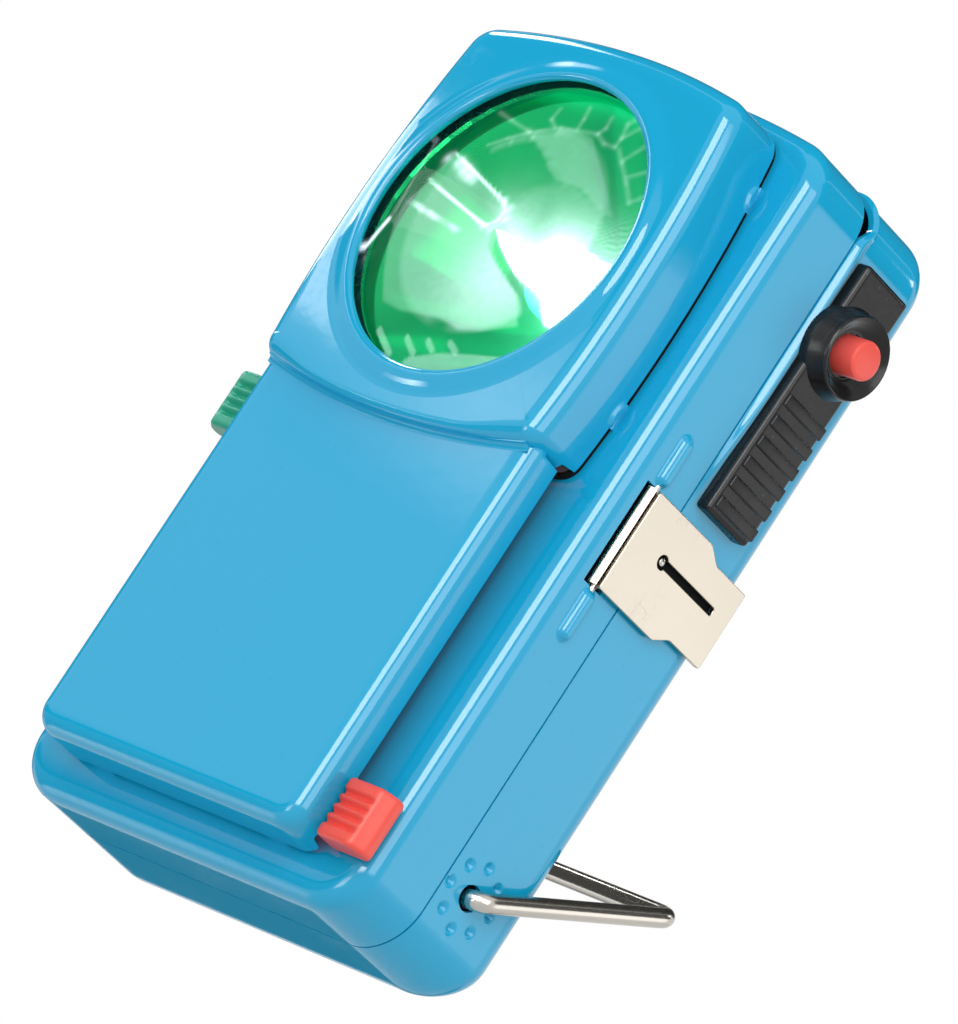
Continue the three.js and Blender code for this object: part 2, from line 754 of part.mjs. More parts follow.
function filterPane(side, layer, knobHeightNow) {
  const top = parkedTop + knobHeightNow - parkedKnob;
  const armLow = knobHeightNow - armHeight / 2;
  const band = [armLow, armLow + armHeight];
  const paneLevels = [back(paneFront(layer)), back(paneFront(layer) + paneThickness)];
  const armLevels = [back(armFront), back(armFront + armThickness)];
  const outline = roundedRectangle([-paneHalf, paneHalf], [armLow - carrierTop, top], paneCorner);
  const webOuter = panelWidth / 2 - sheet - 2 * gap;
  const webInner = webOuter - paneThickness;
  const armEnd = panelWidth / 2 + knobGrip;
  const ear = block([side * (paneHalf - armStart), side * webOuter], paneLevels, band);
  const web = block([side * webInner, side * webOuter], [paneLevels[0], armLevels[1]], band);
  const arm = block([side * webInner, side * armEnd], armLevels, band);
  return join(plate(outline, "Y", ...paneLevels), ear, web, arm);
}

// Knob: a block with ridges across its front and a bevelled outer edge, drawn in the XY plane and pushed up
function knob(side, centre) {
  const inner = panelWidth / 2 + gap;
  const outer = inner + knobWidth;
  const low = centre - knobLength / 2;
  const bevelEnd = -knobHeight + knobBevelDrop;
  const section = [
    [inner, -knobFoot], [inner, -knobHeight + knobRound / 2], [inner + knobRound / 2, -knobHeight],
    [outer - knobBevelWidth, -knobHeight], [outer - knobRound / 3, bevelEnd - knobRound / 2],
    [outer, bevelEnd + knobRound / 2], [outer, -knobFoot - knobRound], [outer - knobRound, -knobFoot],
  ].map(([x, depth]) => [side * x, back(depth)]);
  const body = plate(side > 0 ? section : section.reverse(), "Z", low, low + knobLength);
  const pitch = knobLength / (ridgeCount + 1);
  const grooves = Array.from({ length: ridgeCount - 1 }, (_, i) => {
    const z = centre + (i - (ridgeCount - 2) / 2) * pitch;
    const start = new THREE.Vector3(side * (inner - overrun), back(-knobHeight - grooveRadius / 4), z);
    return rod(grooveRadius, ridgeReach + overrun, X.clone().multiplyScalar(side), start, tinyFacets);
  });
  const socket = block(
    [side * (inner - overrun), side * (inner + knobGrip)],
    [back(armFront - gap), back(armFront + armThickness + gap)],
    [centre - armHeight / 2 - gap, centre + armHeight / 2 + gap],
  );
  return cut(body, ...grooves, socket);
}

// Rear tray: the lid, with its lip, bail holes, dimples and switch slots
function lipAt({ x, z }) {
  const rise = THREE.MathUtils.smoothstep(z, lampHeight - lipReach, lampHeight);
  return x > 0 ? lipHeight * rise * THREE.MathUtils.smoothstep(x, 0, innerWall) : 0;
}

const switchY = seam + switchAfterSeam;
const bailY = seam + bailAfterSeam;
const bailHole = bailWire + bailHoleRoom;
const stemHigh = bossHeight - stemBelowBoss + stemLength / 2;
const stemLow = stemHigh - stemLength;

function dimples(side) {
  return Array.from({ length: dimpleCount }, (_, i) => {
    const angle = (2 * Math.PI * i) / dimpleCount;
    const ball = new THREE.SphereGeometry(dimpleRadius, tinyFacets, filletSteps);
    ball.rotateZ(rightAngle);
    const x = side * (halfWidth + dimpleRadius - dimpleDepth);
    const [y, z] = [bailY + dimpleRing * Math.cos(angle), bailHeight + dimpleRing * Math.sin(angle)];
    return ball.translate(x, y, z);
  });
}

function rearShell() {
  const body = tray(caseOutline, {
    face: back(caseDepth), rim: seam + gap / 2, toward: -1, lip: lipAt,
    fillet: ({ nz }) => rearFillet + (rearBottomFillet - rearFillet) * Math.max(0, -nz) ** 2,
  });
  const knuckles = placesFrom(0).map((place) => knuckle(place, 1));
  const bailStart = new THREE.Vector3(-halfWidth - overrun, bailY, bailHeight);
  const bailHoles = rod(bailHole, farOut + 2 * overrun, X, bailStart);
  const slot = (halfSpan, low, high) => block(
    [innerWall - overrun, halfWidth + overrun], [switchY - halfSpan, switchY + halfSpan], [low, high],
  );
  const stemSlot = slot(stemWidth / 2 + gap, stemLow - gap, stemHigh + switchTravel + gap);
  const keyRoom = stemRadius + gap;
  const keySlot = slot(keyRoom, bossHeight - keyRoom, bossHeight + switchTravel + keyRoom);
  const studStart = new THREE.Vector3(innerWall - gap, catchY, catchHeight);
  const studHole = rod(studRadius + gap, 2 * sheet, X, studStart);
  const dents = [...dimples(-1), ...dimples(1)];
  return cut(join(body, ...knuckles), bailHoles, stemSlot, keySlot, studHole, ...dents);
}

function hingePin() {
  const length = knuckleCount * knucklePitch - gap;
  return rod(hingePinRadius, length, Z, new THREE.Vector3(hingeX, seam, hingeLow));
}

// Clasp: a barrel rolled from one end of a plate that reaches back over the seam
function clasp() {
  const outer = claspX + claspBarrel;
  const inner = outer - claspSheet;
  const tip = seam + claspPastSeam;
  const barrel = plate(circlePoints(claspX, claspY, claspBarrel, smallFacets), "Z", claspLow, claspHigh);
  const leaf = plate([
    [inner, claspY], [outer, claspY], [outer, tip - tipCurl],
    [outer + tipLift, tip], [inner + tipLift, tip], [inner, tip - tipCurl],
  ], "Z", claspLow, claspHigh);
  const shoulder = seam + shoulderAfterSeam;
  const shoulderEnd = shoulder + shoulderLength;
  const trimEnd = tip + overrun;
  const [tipLow, tipHigh] = [claspLow + shoulderInset, claspHigh - shoulderInset];
  const trims = [
    [[shoulder, claspHigh], [shoulderEnd, tipHigh], [trimEnd, tipHigh], [trimEnd, claspHigh + overrun],
      [shoulder, claspHigh + overrun]],
    [[shoulder, claspLow], [shoulder, claspLow - overrun], [trimEnd, claspLow - overrun], [trimEnd, tipLow],
      [shoulderEnd, tipLow]],
  ].map((points) => plate(points, "X", innerWall, outer + overrun));
  const slot = plate(roundedRectangle(
    [catchY, catchY + catchSlotLength],
    [catchHeight - catchSlotWidth / 2, catchHeight + catchSlotWidth / 2], catchSlotWidth / 3, 2,
  ), "X", innerWall, outer + overrun);
  const eye = rod(catchHead, farOut, X, new THREE.Vector3(innerWall, catchY, catchHeight));
  const bore = rod(claspBore, claspHigh - claspLow + 2 * overrun, Z,
    new THREE.Vector3(claspX, claspY, claspLow - overrun));
  return cut(join(barrel, leaf), bore, ...trims, slot, eye);
}

function claspPin() {
  const low = claspLow - pinPast;
  return rod(claspPinRadius, claspHigh + pinPast - low, Z, new THREE.Vector3(claspX, claspY, low));
}

// Catch stud: a small rivet through the rear tray's wall with a head inside
function catchStud() {
  const start = innerWall - gap - sheet / 2;
  return turned([
    [0, 0], [0, studHead], [sheet / 2, studHead], [sheet / 2, studRadius],
    [halfWidth - start + studProud, studRadius], [halfWidth - start + studProud, 0],
  ], X, new THREE.Vector3(start, catchY, catchHeight), smallFacets);
}

// Morse slider: a ribbed thumb plate with a dished boss for the key button and a stem through the wall
const switchSeat = halfWidth + gap;
const switchTop = switchSeat + switchThickness;
const bossTop = switchSeat + bossProud;
const buttonBore = buttonRadius + gap;
const collarRadius = buttonRadius + collarLedge;
const stemInner = innerWall - gap - keeperThickness - gap;

function switchSlider() {
  const half = switchWidth / 2;
  const body = loftedBlock(
    [switchY - half, switchY + half], [switchLow, switchHigh], switchSeat, switchTop, switchEdge,
  );
  const bossStart = new THREE.Vector3(switchSeat + lipHeight, switchY, bossHeight);
  const bossLength = bossTop - bossStart.x;
  const boss = turned([[0, 0], [0, bossRadius + bossFlare], [bossLength, bossRadius], [bossLength, 0]],
    X, bossStart, roundFacets / 2);
  const stemSpan = (margin) => [switchY - stemWidth / 2 - margin, switchY + stemWidth / 2 + margin];
  const stem = block([stemInner, switchSeat + sheet], stemSpan(0), [stemLow, stemHigh]);
  const stemHead = block(
    [stemInner - stemHeadThickness, stemInner], stemSpan(stemHeadMargin), [stemLow, stemHigh],
  );
  const dishStart = new THREE.Vector3(bossTop - dishDepth, switchY, bossHeight);
  const slopeRun = dishDepth + overrun;
  const slopeRise = ((dishRim - dishFloor) * slopeRun) / dishDepth;
  const dish = turned([[0, 0], [0, dishFloor], [slopeRun, dishFloor + slopeRise], [slopeRun, 0]],
    X, dishStart, roundFacets / 2);
  const lipBack = bossTop - dishDepth - lipThickness;
  const keyBore = rod(buttonBore, bossProud + overrun, X, bossStart);
  const cavity = rod(collarRadius + gap, lipBack - switchSeat + overrun, X,
    new THREE.Vector3(switchSeat - overrun, switchY, bossHeight), smallFacets * 2);
  const ribLength = switchWidth - 2 * switchEdge;
  const ribs = Array.from({ length: ribCount }, (_, i) => {
    const z = switchLow + ribStart + ribRadius + i * ribPitch;
    return rod(ribRadius, ribLength, Y, new THREE.Vector3(switchTop, switchY - ribLength / 2, z));
  });
  return cut(join(body, boss, stem, stemHead, ...ribs), dish, keyBore, cavity);
}

// A block standing on a wall at the right, with its outer face drawn in all round
function loftedBlock([y0, y1], [z0, z1], seat, top, edge) {
  const outline = roundedRectangle([y0, y1], [z0, z1], edge, 2).map(([y, z]) => {
    const [cy, cz] = [(y0 + y1) / 2, (z0 + z1) / 2];
    const nx = Math.sign(y - cy) * (Math.abs(y - cy) > (y1 - y0) / 2 - edge ? 1 : 0);
    const nz = Math.sign(z - cz) * (Math.abs(z - cz) > (z1 - z0) / 2 - edge ? 1 : 0);
    return { x: y, z, nx, nz };
  });
  const flat = loft(outline, [
    { inset: () => 0, y: () => seat }, { inset: () => edge / 3, y: () => top - edge / 2 },
    { inset: () => edge, y: () => top },
  ]);
  flat.applyMatrix4(new THREE.Matrix4().set(0, 1, 0, 0, 1, 0, 0, 0, 0, 0, 1, 0, 0, 0, 0, 1));
  return volumeOf(flat) < 0 ? flip(flat) : flat;
}

function switchKeeper() {
  const inner = innerWall - gap - keeperThickness;
  const outline = roundedRectangle(
    [switchY - stemWidth / 2 - keeperMargin, switchY + stemWidth / 2 + keeperMargin],
    [stemLow - keeperEndMargin, stemHigh + keeperEndMargin], switchEdge, 2,
  );
  const hole = roundedRectangle([switchY - stemWidth / 2 - gap, switchY + stemWidth / 2 + gap],
    [stemLow - gap, stemHigh + gap], gap, 1);
  return plate(outline, "X", inner, inner + keeperThickness, [hole]);
}

// Key button: a round cap with a collar under the boss's lip and a stem that meets the contact blade
const collarTop = bossTop - dishDepth - lipThickness - gap;
const keyStemEnd = innerWall + gap / 2;

function morseButton() {
  const start = keyStemEnd;
  const tip = bossTop + buttonProud - start;
  const collar = collarTop - start;
  const collarBase = collar - collarThickness;
  return turned([
    [0, 0], [0, stemRadius], [collarBase, stemRadius], [collarBase, collarRadius],
    [collar, collarRadius], [collar, buttonRadius], [tip - buttonEdge, buttonRadius],
    [tip, buttonRadius - buttonEdge], [tip, 0],
  ], X, new THREE.Vector3(start, switchY, bossHeight), smallFacets + tinyFacets);
}

// Bail: one wire from inside the left wall, round two corners, to inside the right wall
function bail() {
  const lean = THREE.MathUtils.degToRad(bailAngle);
  const along = (distance) => [bailY + distance * Math.cos(lean), bailHeight + distance * Math.sin(lean)];
  const legX = halfWidth + bailStandOff;
  const side = (sign) => [
    new THREE.Vector3(sign * (innerWall - bailInside), bailY, bailHeight),
    new THREE.Vector3(sign * legX, bailY, bailHeight),
    new THREE.Vector3(sign * legX, ...along(bailLength)),
  ];
  const corners = [...side(-1), ...side(1).reverse()];
  const path = new THREE.CurvePath();
  let last = corners[0];
  for (let i = 1; i + 1 < corners.length; i++) {
    const radius = Math.min(bailBend, bendShare * corners[i].distanceTo(corners[i - 1]));
    const before = corners[i].clone().lerp(corners[i - 1], radius / corners[i].distanceTo(corners[i - 1]));
    const after = corners[i].clone().lerp(corners[i + 1], radius / corners[i].distanceTo(corners[i + 1]));
    path.add(new THREE.LineCurve3(last, before));
    path.add(new THREE.QuadraticBezierCurve3(before, corners[i], after));
    last = after;
  }
  path.add(new THREE.LineCurve3(last, corners[corners.length - 1]));
  return wire(path, bailWire, tinyFacets + 2);
}

// A round wire along a path of straight runs and bends: rings of points joined and closed at both ends
function wire(path, radius, sides) {
  const stops = [];
  for (const curve of path.curves) {
    const steps = curve.isLineCurve3 ? 1 : filletSteps;
    for (let i = 0; i < steps; i++) stops.push([curve, i / steps]);
  }
  stops.push([path.curves[path.curves.length - 1], 1]);
  const places = [];
  const faces = [];
  let side = Z.clone();
  for (const [curve, share] of stops) {
    const tangent = curve.getTangentAt(share);
    side = side.sub(tangent.clone().multiplyScalar(side.dot(tangent))).normalize();
    const other = tangent.clone().cross(side);
    const centre = curve.getPointAt(share);
    for (let i = 0; i < sides; i++) {
      const angle = (2 * Math.PI * i) / sides;
      const point = centre.clone().addScaledVector(side, radius * Math.cos(angle));
      places.push(...point.addScaledVector(other, radius * Math.sin(angle)).toArray());
    }
  }
  for (let ring = 0; ring + 1 < stops.length; ring++) {
    for (let i = 0; i < sides; i++) {
      const [a, b] = [ring * sides + i, ring * sides + ((i + 1) % sides)];
      faces.push(a, b, a + sides, b, b + sides, a + sides);
    }
  }
  const end = (stops.length - 1) * sides;
  for (let i = 1; i + 1 < sides; i++) {
    faces.push(0, i + 1, i);
    faces.push(end, end + i, end + i + 1);
  }
  const body = new THREE.BufferGeometry();
  body.setAttribute("position", new THREE.Float32BufferAttribute(places, 3));
  body.setIndex(faces);
  return volumeOf(body) < 0 ? flip(body) : body;
}

function battery() {
  const outline = roundedRectangle([-batteryWidth / 2, batteryWidth / 2],
    [back(batteryDepth), back(batteryDepth + batteryThickness)], batteryCorner);
  return plate(outline, "Z", batteryFloor, batteryTop);
}

// A sheet strip bent along a line of points in one plane, drawn as a ribbon of even thickness
function ribbon(points, thickness, axis, from, to) {
  const one = points.map(([u, v], i) => {
    const [pu, pv] = points[Math.max(i - 1, 0)];
    const [nu, nv] = points[Math.min(i + 1, points.length - 1)];
    const length = Math.hypot(nu - pu, nv - pv);
    return [u - (thickness * (nv - pv)) / length, v + (thickness * (nu - pu)) / length];
  });
  const loop = [...points, ...one.reverse()];
  const area = loop.reduce((sum, [u, v], i) => {
    const [nu, nv] = loop[(i + 1) % loop.length];
    return sum + u * nv - nu * v;
  }, 0);
  return plate(area > 0 ? loop : loop.reverse(), axis, from, to);
}

// Battery tabs stand on the battery's top; the long one is folded over towards the case's middle
function batteryTab(side, heightShare) {
  const foot = batteryTop + gap;
  const rise = batteryTabHeight * heightShare;
  const y = back(batteryDepth + batteryThickness - batteryTabFromBack);
  const middle = side * batteryTabOffset;
  return ribbon([
    [y - batteryTabLean, foot], [y, foot],
    [y + batteryTabLean / 2, foot + rise / 2], [y + batteryTabLean, foot + rise],
  ], contactSheet, "X", middle - batteryTabWidth / 2, middle + batteryTabWidth / 2);
}

// Contact board: a fibre strip on two feet inside the rear tray's right wall
const boardOuter = innerWall - boardInset + boardThickness;
const boardInner = innerWall - boardInset;
const boardFront = seam + boardPastSeam;
const boardBack = boardFront + boardWidth;
const boardLow = lampHeight - boardBelowLamp;
const boardHigh = lampHeight + boardAboveLamp;

function contactBoard() {
  const board = plate(roundedRectangle([boardFront, boardBack], [boardLow, boardHigh], footRadius, 2),
    "X", boardInner, boardOuter);
  const feet = [boardLow + footInset, boardHigh - footInset].map((z) => {
    const start = new THREE.Vector3(boardOuter - boardThickness / 2, boardBack - footInset, z);
    return rod(footRadius, innerWall - gap - start.x, X, start, tinyFacets);
  });
  return join(board, ...feet);
}

// Switch blade: a springy strip on the board that the key's stem presses
function contactSpring() {
  const foot = boardOuter + gap;
  const tip = keyStemEnd - buttonTravel - gap - contactSheet;
  return ribbon([
    [foot, boardLow + bladeFoot], [foot, bossHeight - bladeKneeDrop], [tip, bossHeight - bladeBendDrop],
    [tip, bossHeight + bladePastBoss],
  ], -contactSheet, "Y", switchY - bladeWidth / 2, switchY + bladeWidth / 2);
}

// Bulb strip: from the board's inner face round behind the bulb's tip
function bulbStrip() {
  const tip = back(capEnd + tipLength + gap);
  const x = boardInner - gap - contactSheet;
  return ribbon([
    [x, tip - bulbStripFoot], [x, tip], [-bulbStripPast, tip],
  ], -contactSheet, "Z", lampHeight - bulbStripWidth / 2, lampHeight + bulbStripWidth / 2);
}

const finishes = {
  enamel: [0x2da3d4, 0.25, 0],
  nickel: [0xd8cfc0, 0.3, 1],
  steel: [0xb8b4aa, 0.3, 1],
  mirror: [0xe8e8e4, 0.08, 1],
  brass: [0xc9a24a, 0.35, 1],
  clear: [0xe6f2ee, 0.05, 0],
  green: [0x17a862, 0.1, 0],
  red: [0xd8352c, 0.1, 0],
  greenPlastic: [0x32b982, 0.4, 0],
  redPlastic: [0xf05a50, 0.4, 0],
  black: [0x262626, 0.45, 0],
  fibre: [0x8a5a36, 0.8, 0],
  card: [0x5a6a78, 0.7, 0],
};

const pieces = [
  ["front_shell", frontShell(), "enamel"],
  ["front_cover", frontCover(), "enamel"],
  ["lens", lens(), "clear"],
  ["lens_retainer", lensRetainer(), "nickel"],
  ["reflector", reflector(), "mirror"],
  ["bulb_socket", bulbSocket(), "brass"],
  ["bulb_cap", bulbCap(), "brass"],
  ["bulb_glass", bulbGlass(), "clear"],
  ["red_filter", filterPane(1, 1, parkedKnob), "red"],
  ["red_knob", knob(1, parkedKnob), "redPlastic"],
  ["green_filter", filterPane(-1, 0, raisedKnob), "green"],
  ["green_knob", knob(-1, raisedKnob), "greenPlastic"],
  ["rear_shell", rearShell(), "enamel"],
  ["lid_hinge_pin", hingePin(), "steel"],
  ["clasp_plate", clasp(), "nickel"],
  ["clasp_hinge_pin", claspPin(), "steel"],
  ["catch_stud", catchStud(), "steel"],
  ["switch_slider", switchSlider(), "black"],
  ["switch_keeper", switchKeeper(), "steel"],
  ["morse_button", morseButton(), "redPlastic"],
  ["bail", bail(), "steel"],
  ["battery", battery(), "card"],
  ["battery_tab_short", batteryTab(1, shortTabShare), "brass"],
  ["battery_tab_long", batteryTab(-1, 1), "brass"],
  ["contact_board", contactBoard(), "fibre"],
  ["contact_spring", contactSpring(), "brass"],
  ["bulb_contact_strip", bulbStrip(), "brass"],
];

const lamp = new THREE.Group();
for (const [name, geometry, finish] of pieces) {
  const [color, roughness, metalness] = finishes[finish];
  const mesh = new THREE.Mesh(geometry, new THREE.MeshStandardMaterial({ color, roughness, metalness }));
  mesh.name = name;
  lamp.add(mesh);
}

export default lamp;
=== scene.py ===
"""Looks of the morse signal lamp: smooth pressed-sheet pieces, finishes, lights and camera in the CAD frame."""

import math

import bmesh
import bpy
import numpy as np
from mathutils import Matrix, Vector
from mathutils.geometry import tessellate_polygon


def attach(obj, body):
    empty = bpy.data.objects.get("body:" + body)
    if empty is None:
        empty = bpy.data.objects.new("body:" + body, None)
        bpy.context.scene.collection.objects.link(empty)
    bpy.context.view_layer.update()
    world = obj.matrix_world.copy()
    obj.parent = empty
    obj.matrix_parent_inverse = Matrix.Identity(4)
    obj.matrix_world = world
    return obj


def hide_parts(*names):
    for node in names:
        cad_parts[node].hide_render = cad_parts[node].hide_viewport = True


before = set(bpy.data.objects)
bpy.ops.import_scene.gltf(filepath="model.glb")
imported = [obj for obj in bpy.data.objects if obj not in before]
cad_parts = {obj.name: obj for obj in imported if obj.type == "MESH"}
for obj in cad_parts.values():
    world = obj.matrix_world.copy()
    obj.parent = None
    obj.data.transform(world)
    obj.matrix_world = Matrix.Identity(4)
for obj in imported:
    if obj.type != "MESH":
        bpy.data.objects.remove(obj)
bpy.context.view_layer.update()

MM = 0.001

# Sizes of the lamp in millimetres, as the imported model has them. Depth is measured backwards from the tray's face.
SHEET, PLAY = 0.8, 0.3
MIDDLE = (0, 0, 63)
FRONT, SEAM, SEAM_GAP, CASE_DEPTH = -15.4, 12.3, 0.15, 30.8
CASE_HALF, CASE_TOP, SIDE_TOP, CROWN, CORNER = 35.0, 125.78, 118, 165, 8
KNUCKLE, KNUCKLE_LONG, KNUCKLES, HINGE_Z = 1.6, 8, 5, 60
LAMP_Z, HOLE = 93.48, 23.2
HEAD_DEPTH, HEAD_HALF, HEAD_LOW, HEAD_WAIST, HEAD_TOP = -11.25, 29.05, 63.28, 89.08, 123.68
HEAD_SIDE, HEAD_ARCH, HEAD_LOW_CORNER, HEAD_HIGH_CORNER = 178, 125, 3.2, 4.5
PANEL_DEPTH, PANEL_HALF, PANEL_LOW, PANEL_CORNER = -9.0, 27.25, 5.85, 4.0
SLOT_LOW, SLOT_HIGH, SLOT_DEPTH = 7.15, 67.38, -3.2
TAB_HALF = 2
LENS_THICK, LENS_SAG, LENS_RIM, RETAINER, PANE = 1.2, 2.2, 25.4, 0.8, 0.7
BOWL_NECK, BOWL_LONG, BOWL_WALL = 5.6, 16, 0.6
RED_Z, GREEN_Z = 12.15, 59.98
SWITCH_DEPTH, BOSS_Z, SWITCH_THICK, BOSS_HIGH = 18.3, 102.58, 2.4, 5.3
CLASP_X, CLASP_DEPTH, CLASP_LOW, CLASP_HIGH, BARREL = 34.75, 6.4, 55.9, 71.3, 1.5
STUD_DEPTH, STUD_Z = 13.4, 64.6
BAIL_DEPTH, BAIL_Z, BAIL_WIRE = 18.3, 13.5, 1.4

# Orders that turn a drawn section and its level into (x, depth, z)
UPWARDS, FACING, SIDEWAYS = [0, 1, 2], [0, 2, 1], [2, 1, 0]
RIGHT_WALL, ACROSS_WALL = [2, 0, 1], [1, 2, 0]


# Surfaces

def placed(name, data):
    """A new object in the scene that shows the data."""
    made = bpy.data.objects.new(name, data)
    bpy.context.scene.collection.objects.link(made)
    return made


def add_piece(name, body, points, faces, material, stands_for=(), slot=None, sharp=35):
    """Makes one object from points in millimetres (x, depth, z) and lists of face rows. It rides on a body, and may
    stand for CAD nodes. The slot argument is not used.

    Depth turns into y by adding the front face's place. Points that meet are merged, which closes seams and poles,
    and the whole mesh is turned outwards by the sign of the enclosed volume.
    """
    places = (np.asarray(points, float) + [0, FRONT, 0]) * MM
    corners = [row for block in faces for row in np.asarray(block).tolist()]
    mesh = bpy.data.meshes.new(name)
    mesh.from_pydata(places.tolist(), [], corners)
    mesh.update()
    work = bmesh.new()
    work.from_mesh(mesh)
    bmesh.ops.remove_doubles(work, verts=work.verts, dist=2e-7)
    bmesh.ops.delete(work, geom=[v for v in work.verts if not v.link_faces], context="VERTS")
    if work.calc_volume(signed=True) < 0:
        bmesh.ops.reverse_faces(work, faces=work.faces)
    work.to_mesh(mesh)
    work.free()
    mesh.shade_smooth()
    mesh.set_sharp_from_angle(angle=math.radians(sharp))
    mesh.materials.append(material)
    piece = placed(name, mesh)
    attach(piece, body)
    if stands_for:
        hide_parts(*stands_for)
    return piece


def joined(*values):
    """Arrays side by side, along a new last axis."""
    return np.stack(values, -1)


def cells(rows, columns, wrap, start=0):
    """Point numbers of every cell of a grid, as rows x columns x 4; the last column meets the first where it wraps."""
    r, c = np.meshgrid(np.arange(rows - 1), np.arange(columns if wrap else columns - 1), indexing="ij")
    after = (c + 1) % columns
    return start + joined(r * columns + c, r * columns + after, (r + 1) * columns + after, (r + 1) * columns + c)


def wrapped(grid):
    """Points and faces of a grid whose last column meets its first."""
    grid = np.asarray(grid)
    return grid.reshape(-1, 3), [cells(*grid.shape[:2], True).reshape(-1, 4)]


def shell(outer, inner, keep=None):
    """A sheet between two grids: the kept cells of both, and a wall along every edge that one kept cell alone has."""
    rows, columns = outer.shape[:2]
    grid = cells(rows, columns, True)
    faces = grid[keep] if keep is not None else grid.reshape(-1, 4)
    edges = joined(faces, np.roll(faces, -1, axis=1)).reshape(-1, 2)
    count = rows * columns
    lone = ~np.isin(edges[:, 0] * count + edges[:, 1], edges[:, 1] * count + edges[:, 0])
    a, b = edges[lone].T
    points = np.concatenate([outer.reshape(-1, 3), inner.reshape(-1, 3)])
    return points, [faces, faces[:, ::-1] + count, joined(b, a, a + count, b + count)]


def several(*parts):
    """Puts separate closed surfaces into one list of points and faces."""
    faces, start = [], 0
    for points, rows in parts:
        faces += [np.asarray(row) + start for row in rows]
        start += len(points)
    return np.concatenate([points for points, _ in parts]), faces


def arc(x, z, radius, start, end, step=0.7):
    """Points on a circle from one angle to another, about a step apart, each with its outward normal."""
    angle = np.linspace(start, end, max(3, int(abs(end - start) * radius / step) + 1))
    return joined(x + radius * np.cos(angle), z + radius * np.sin(angle), np.cos(angle), np.sin(angle))


def stops(low, high, step, *dense):
    """Places from low to high a step apart, and closer inside the dense runs (from, to, step)."""
    coarse, runs = np.linspace(low, high, max(2, int((high - low) / step) + 1)), []
    for start, end, fine in dense:
        coarse = coarse[(coarse < start + 1e-6) | (coarse > end - 1e-6)]
        runs.append(np.linspace(start, end, int(round((end - start) / fine)) + 1))
    return np.unique(np.round(np.concatenate([coarse, *runs]), 4))


def upright(x, heights):
    """Points up a straight right side, with their normals."""
    return joined(np.full_like(heights, x), heights, np.ones_like(heights), np.zeros_like(heights))


def sill(half, count, height):
    """Points along a straight bottom, from its middle to the corner's start, with their normals."""
    x = np.linspace(0, half, count)[:-1]
    return joined(x, np.full_like(x, height), np.zeros_like(x), -np.ones_like(x))


def whole(*runs):
    """A right half outline from the bottom's middle to the top's middle, mirrored to go all the way round."""
    half = np.concatenate(runs)
    return np.concatenate([half, half[1:-1][::-1] * [-1, 1, -1, 1]])


def case_outline(heights):
    """The case from the front: straight bottom and sides under an arched top, with a corner arc that touches both
    neighbours. Columns are x, z and the outward normal."""
    centre_z, run = CASE_TOP - CROWN, CASE_HALF - CORNER
    corner = centre_z + math.sqrt((CROWN - CORNER) ** 2 - run ** 2)
    lean = math.atan2(corner - centre_z, run)
    sides = heights[(heights > CORNER) & (heights < corner)]
    return whole(sill(run, 30, 0), arc(run, CORNER, CORNER, -math.pi / 2, 0), upright(CASE_HALF, sides),
                 arc(run, corner, CORNER, 0, lean), arc(0, centre_z, CROWN, lean, math.pi / 2, 1.5)[1:])


def touching(a, b, radius, upper):
    """Centre of a circle that touches two larger circles (x, z, radius) from inside."""
    ra, rb = a[2] - radius, b[2] - radius
    dx, dz = b[0] - a[0], b[1] - a[1]
    far = math.hypot(dx, dz)
    along = (ra ** 2 - rb ** 2 + far ** 2) / (2 * far)
    across = math.sqrt(ra ** 2 - along ** 2) * (1 if upper else -1)
    return a[0] + (along * dx - across * dz) / far, a[1] + (along * dz + across * dx) / far


def head_outline():
    """The head from the front: four bulging sides, each an arc, joined by corner arcs that touch both neighbours."""
    flank = (HEAD_HALF - HEAD_SIDE, HEAD_WAIST, HEAD_SIDE)
    roof, base = (0, HEAD_TOP - HEAD_ARCH, HEAD_ARCH), (0, HEAD_LOW + HEAD_ARCH, HEAD_ARCH)
    high_at = touching(flank, roof, HEAD_HIGH_CORNER, True)
    low_at = touching(flank, base, HEAD_LOW_CORNER, False)
    base_end, side_start, side_end, roof_start = [
        math.atan2(point[1] - circle[1], point[0] - circle[0])
        for circle, point in ((base, low_at), (flank, low_at), (flank, high_at), (roof, high_at))]
    return whole(arc(*base, -math.pi / 2, base_end, 0.8)[:-1], arc(*low_at, HEAD_LOW_CORNER, base_end, side_start, 0.4),
                 arc(*flank, side_start, side_end, 0.3)[1:-1],
                 arc(*high_at, HEAD_HIGH_CORNER, side_end, roof_start, 0.5),
                 arc(*roof, roof_start, math.pi / 2, 0.8)[1:])


def pressed(rim, face, fillet, shares, skin):
    """Insets and depths of a pressed wall: along the wall from rim to fillet at the given shares, then a quarter
    circle whose radius is the fillet less the skin, so that the inner skin keeps the sheet's thickness."""
    turn = np.sign(face - rim)
    reach = face - turn * fillet
    angle = np.linspace(0, math.pi / 2, 11)[1:, None]
    wall = rim + np.asarray(shares)[:, None] * (reach - rim)
    inset = np.concatenate([np.full_like(wall, skin), skin + (fillet - skin) * (1 - np.cos(angle))])
    return inset, np.concatenate([wall, reach + turn * (fillet - skin) * np.sin(angle)])


def drawn(outline, inset, depth, z=None):
    """Turns insets and depths into points: the outline moved in along its normals, at those depths."""
    z = outline[:, 1] if z is None else z
    return joined(outline[:, 0] - inset * outline[:, 2], depth + 0 * inset, z - inset * outline[:, 3])


def inwards(ring, middle, radius, shares):
    """Rows of points on straight lines from a ring to a circle round the middle (x, z), at one depth each."""
    flat = ring[:, [0, 2]]
    away = flat - middle
    end = middle + away / np.hypot(*away.T)[:, None] * radius
    rows = [flat * (1 - share) + end * share for share in shares]
    return np.stack([joined(row[:, 0], ring[:, 1], row[:, 1]) for row in rows])


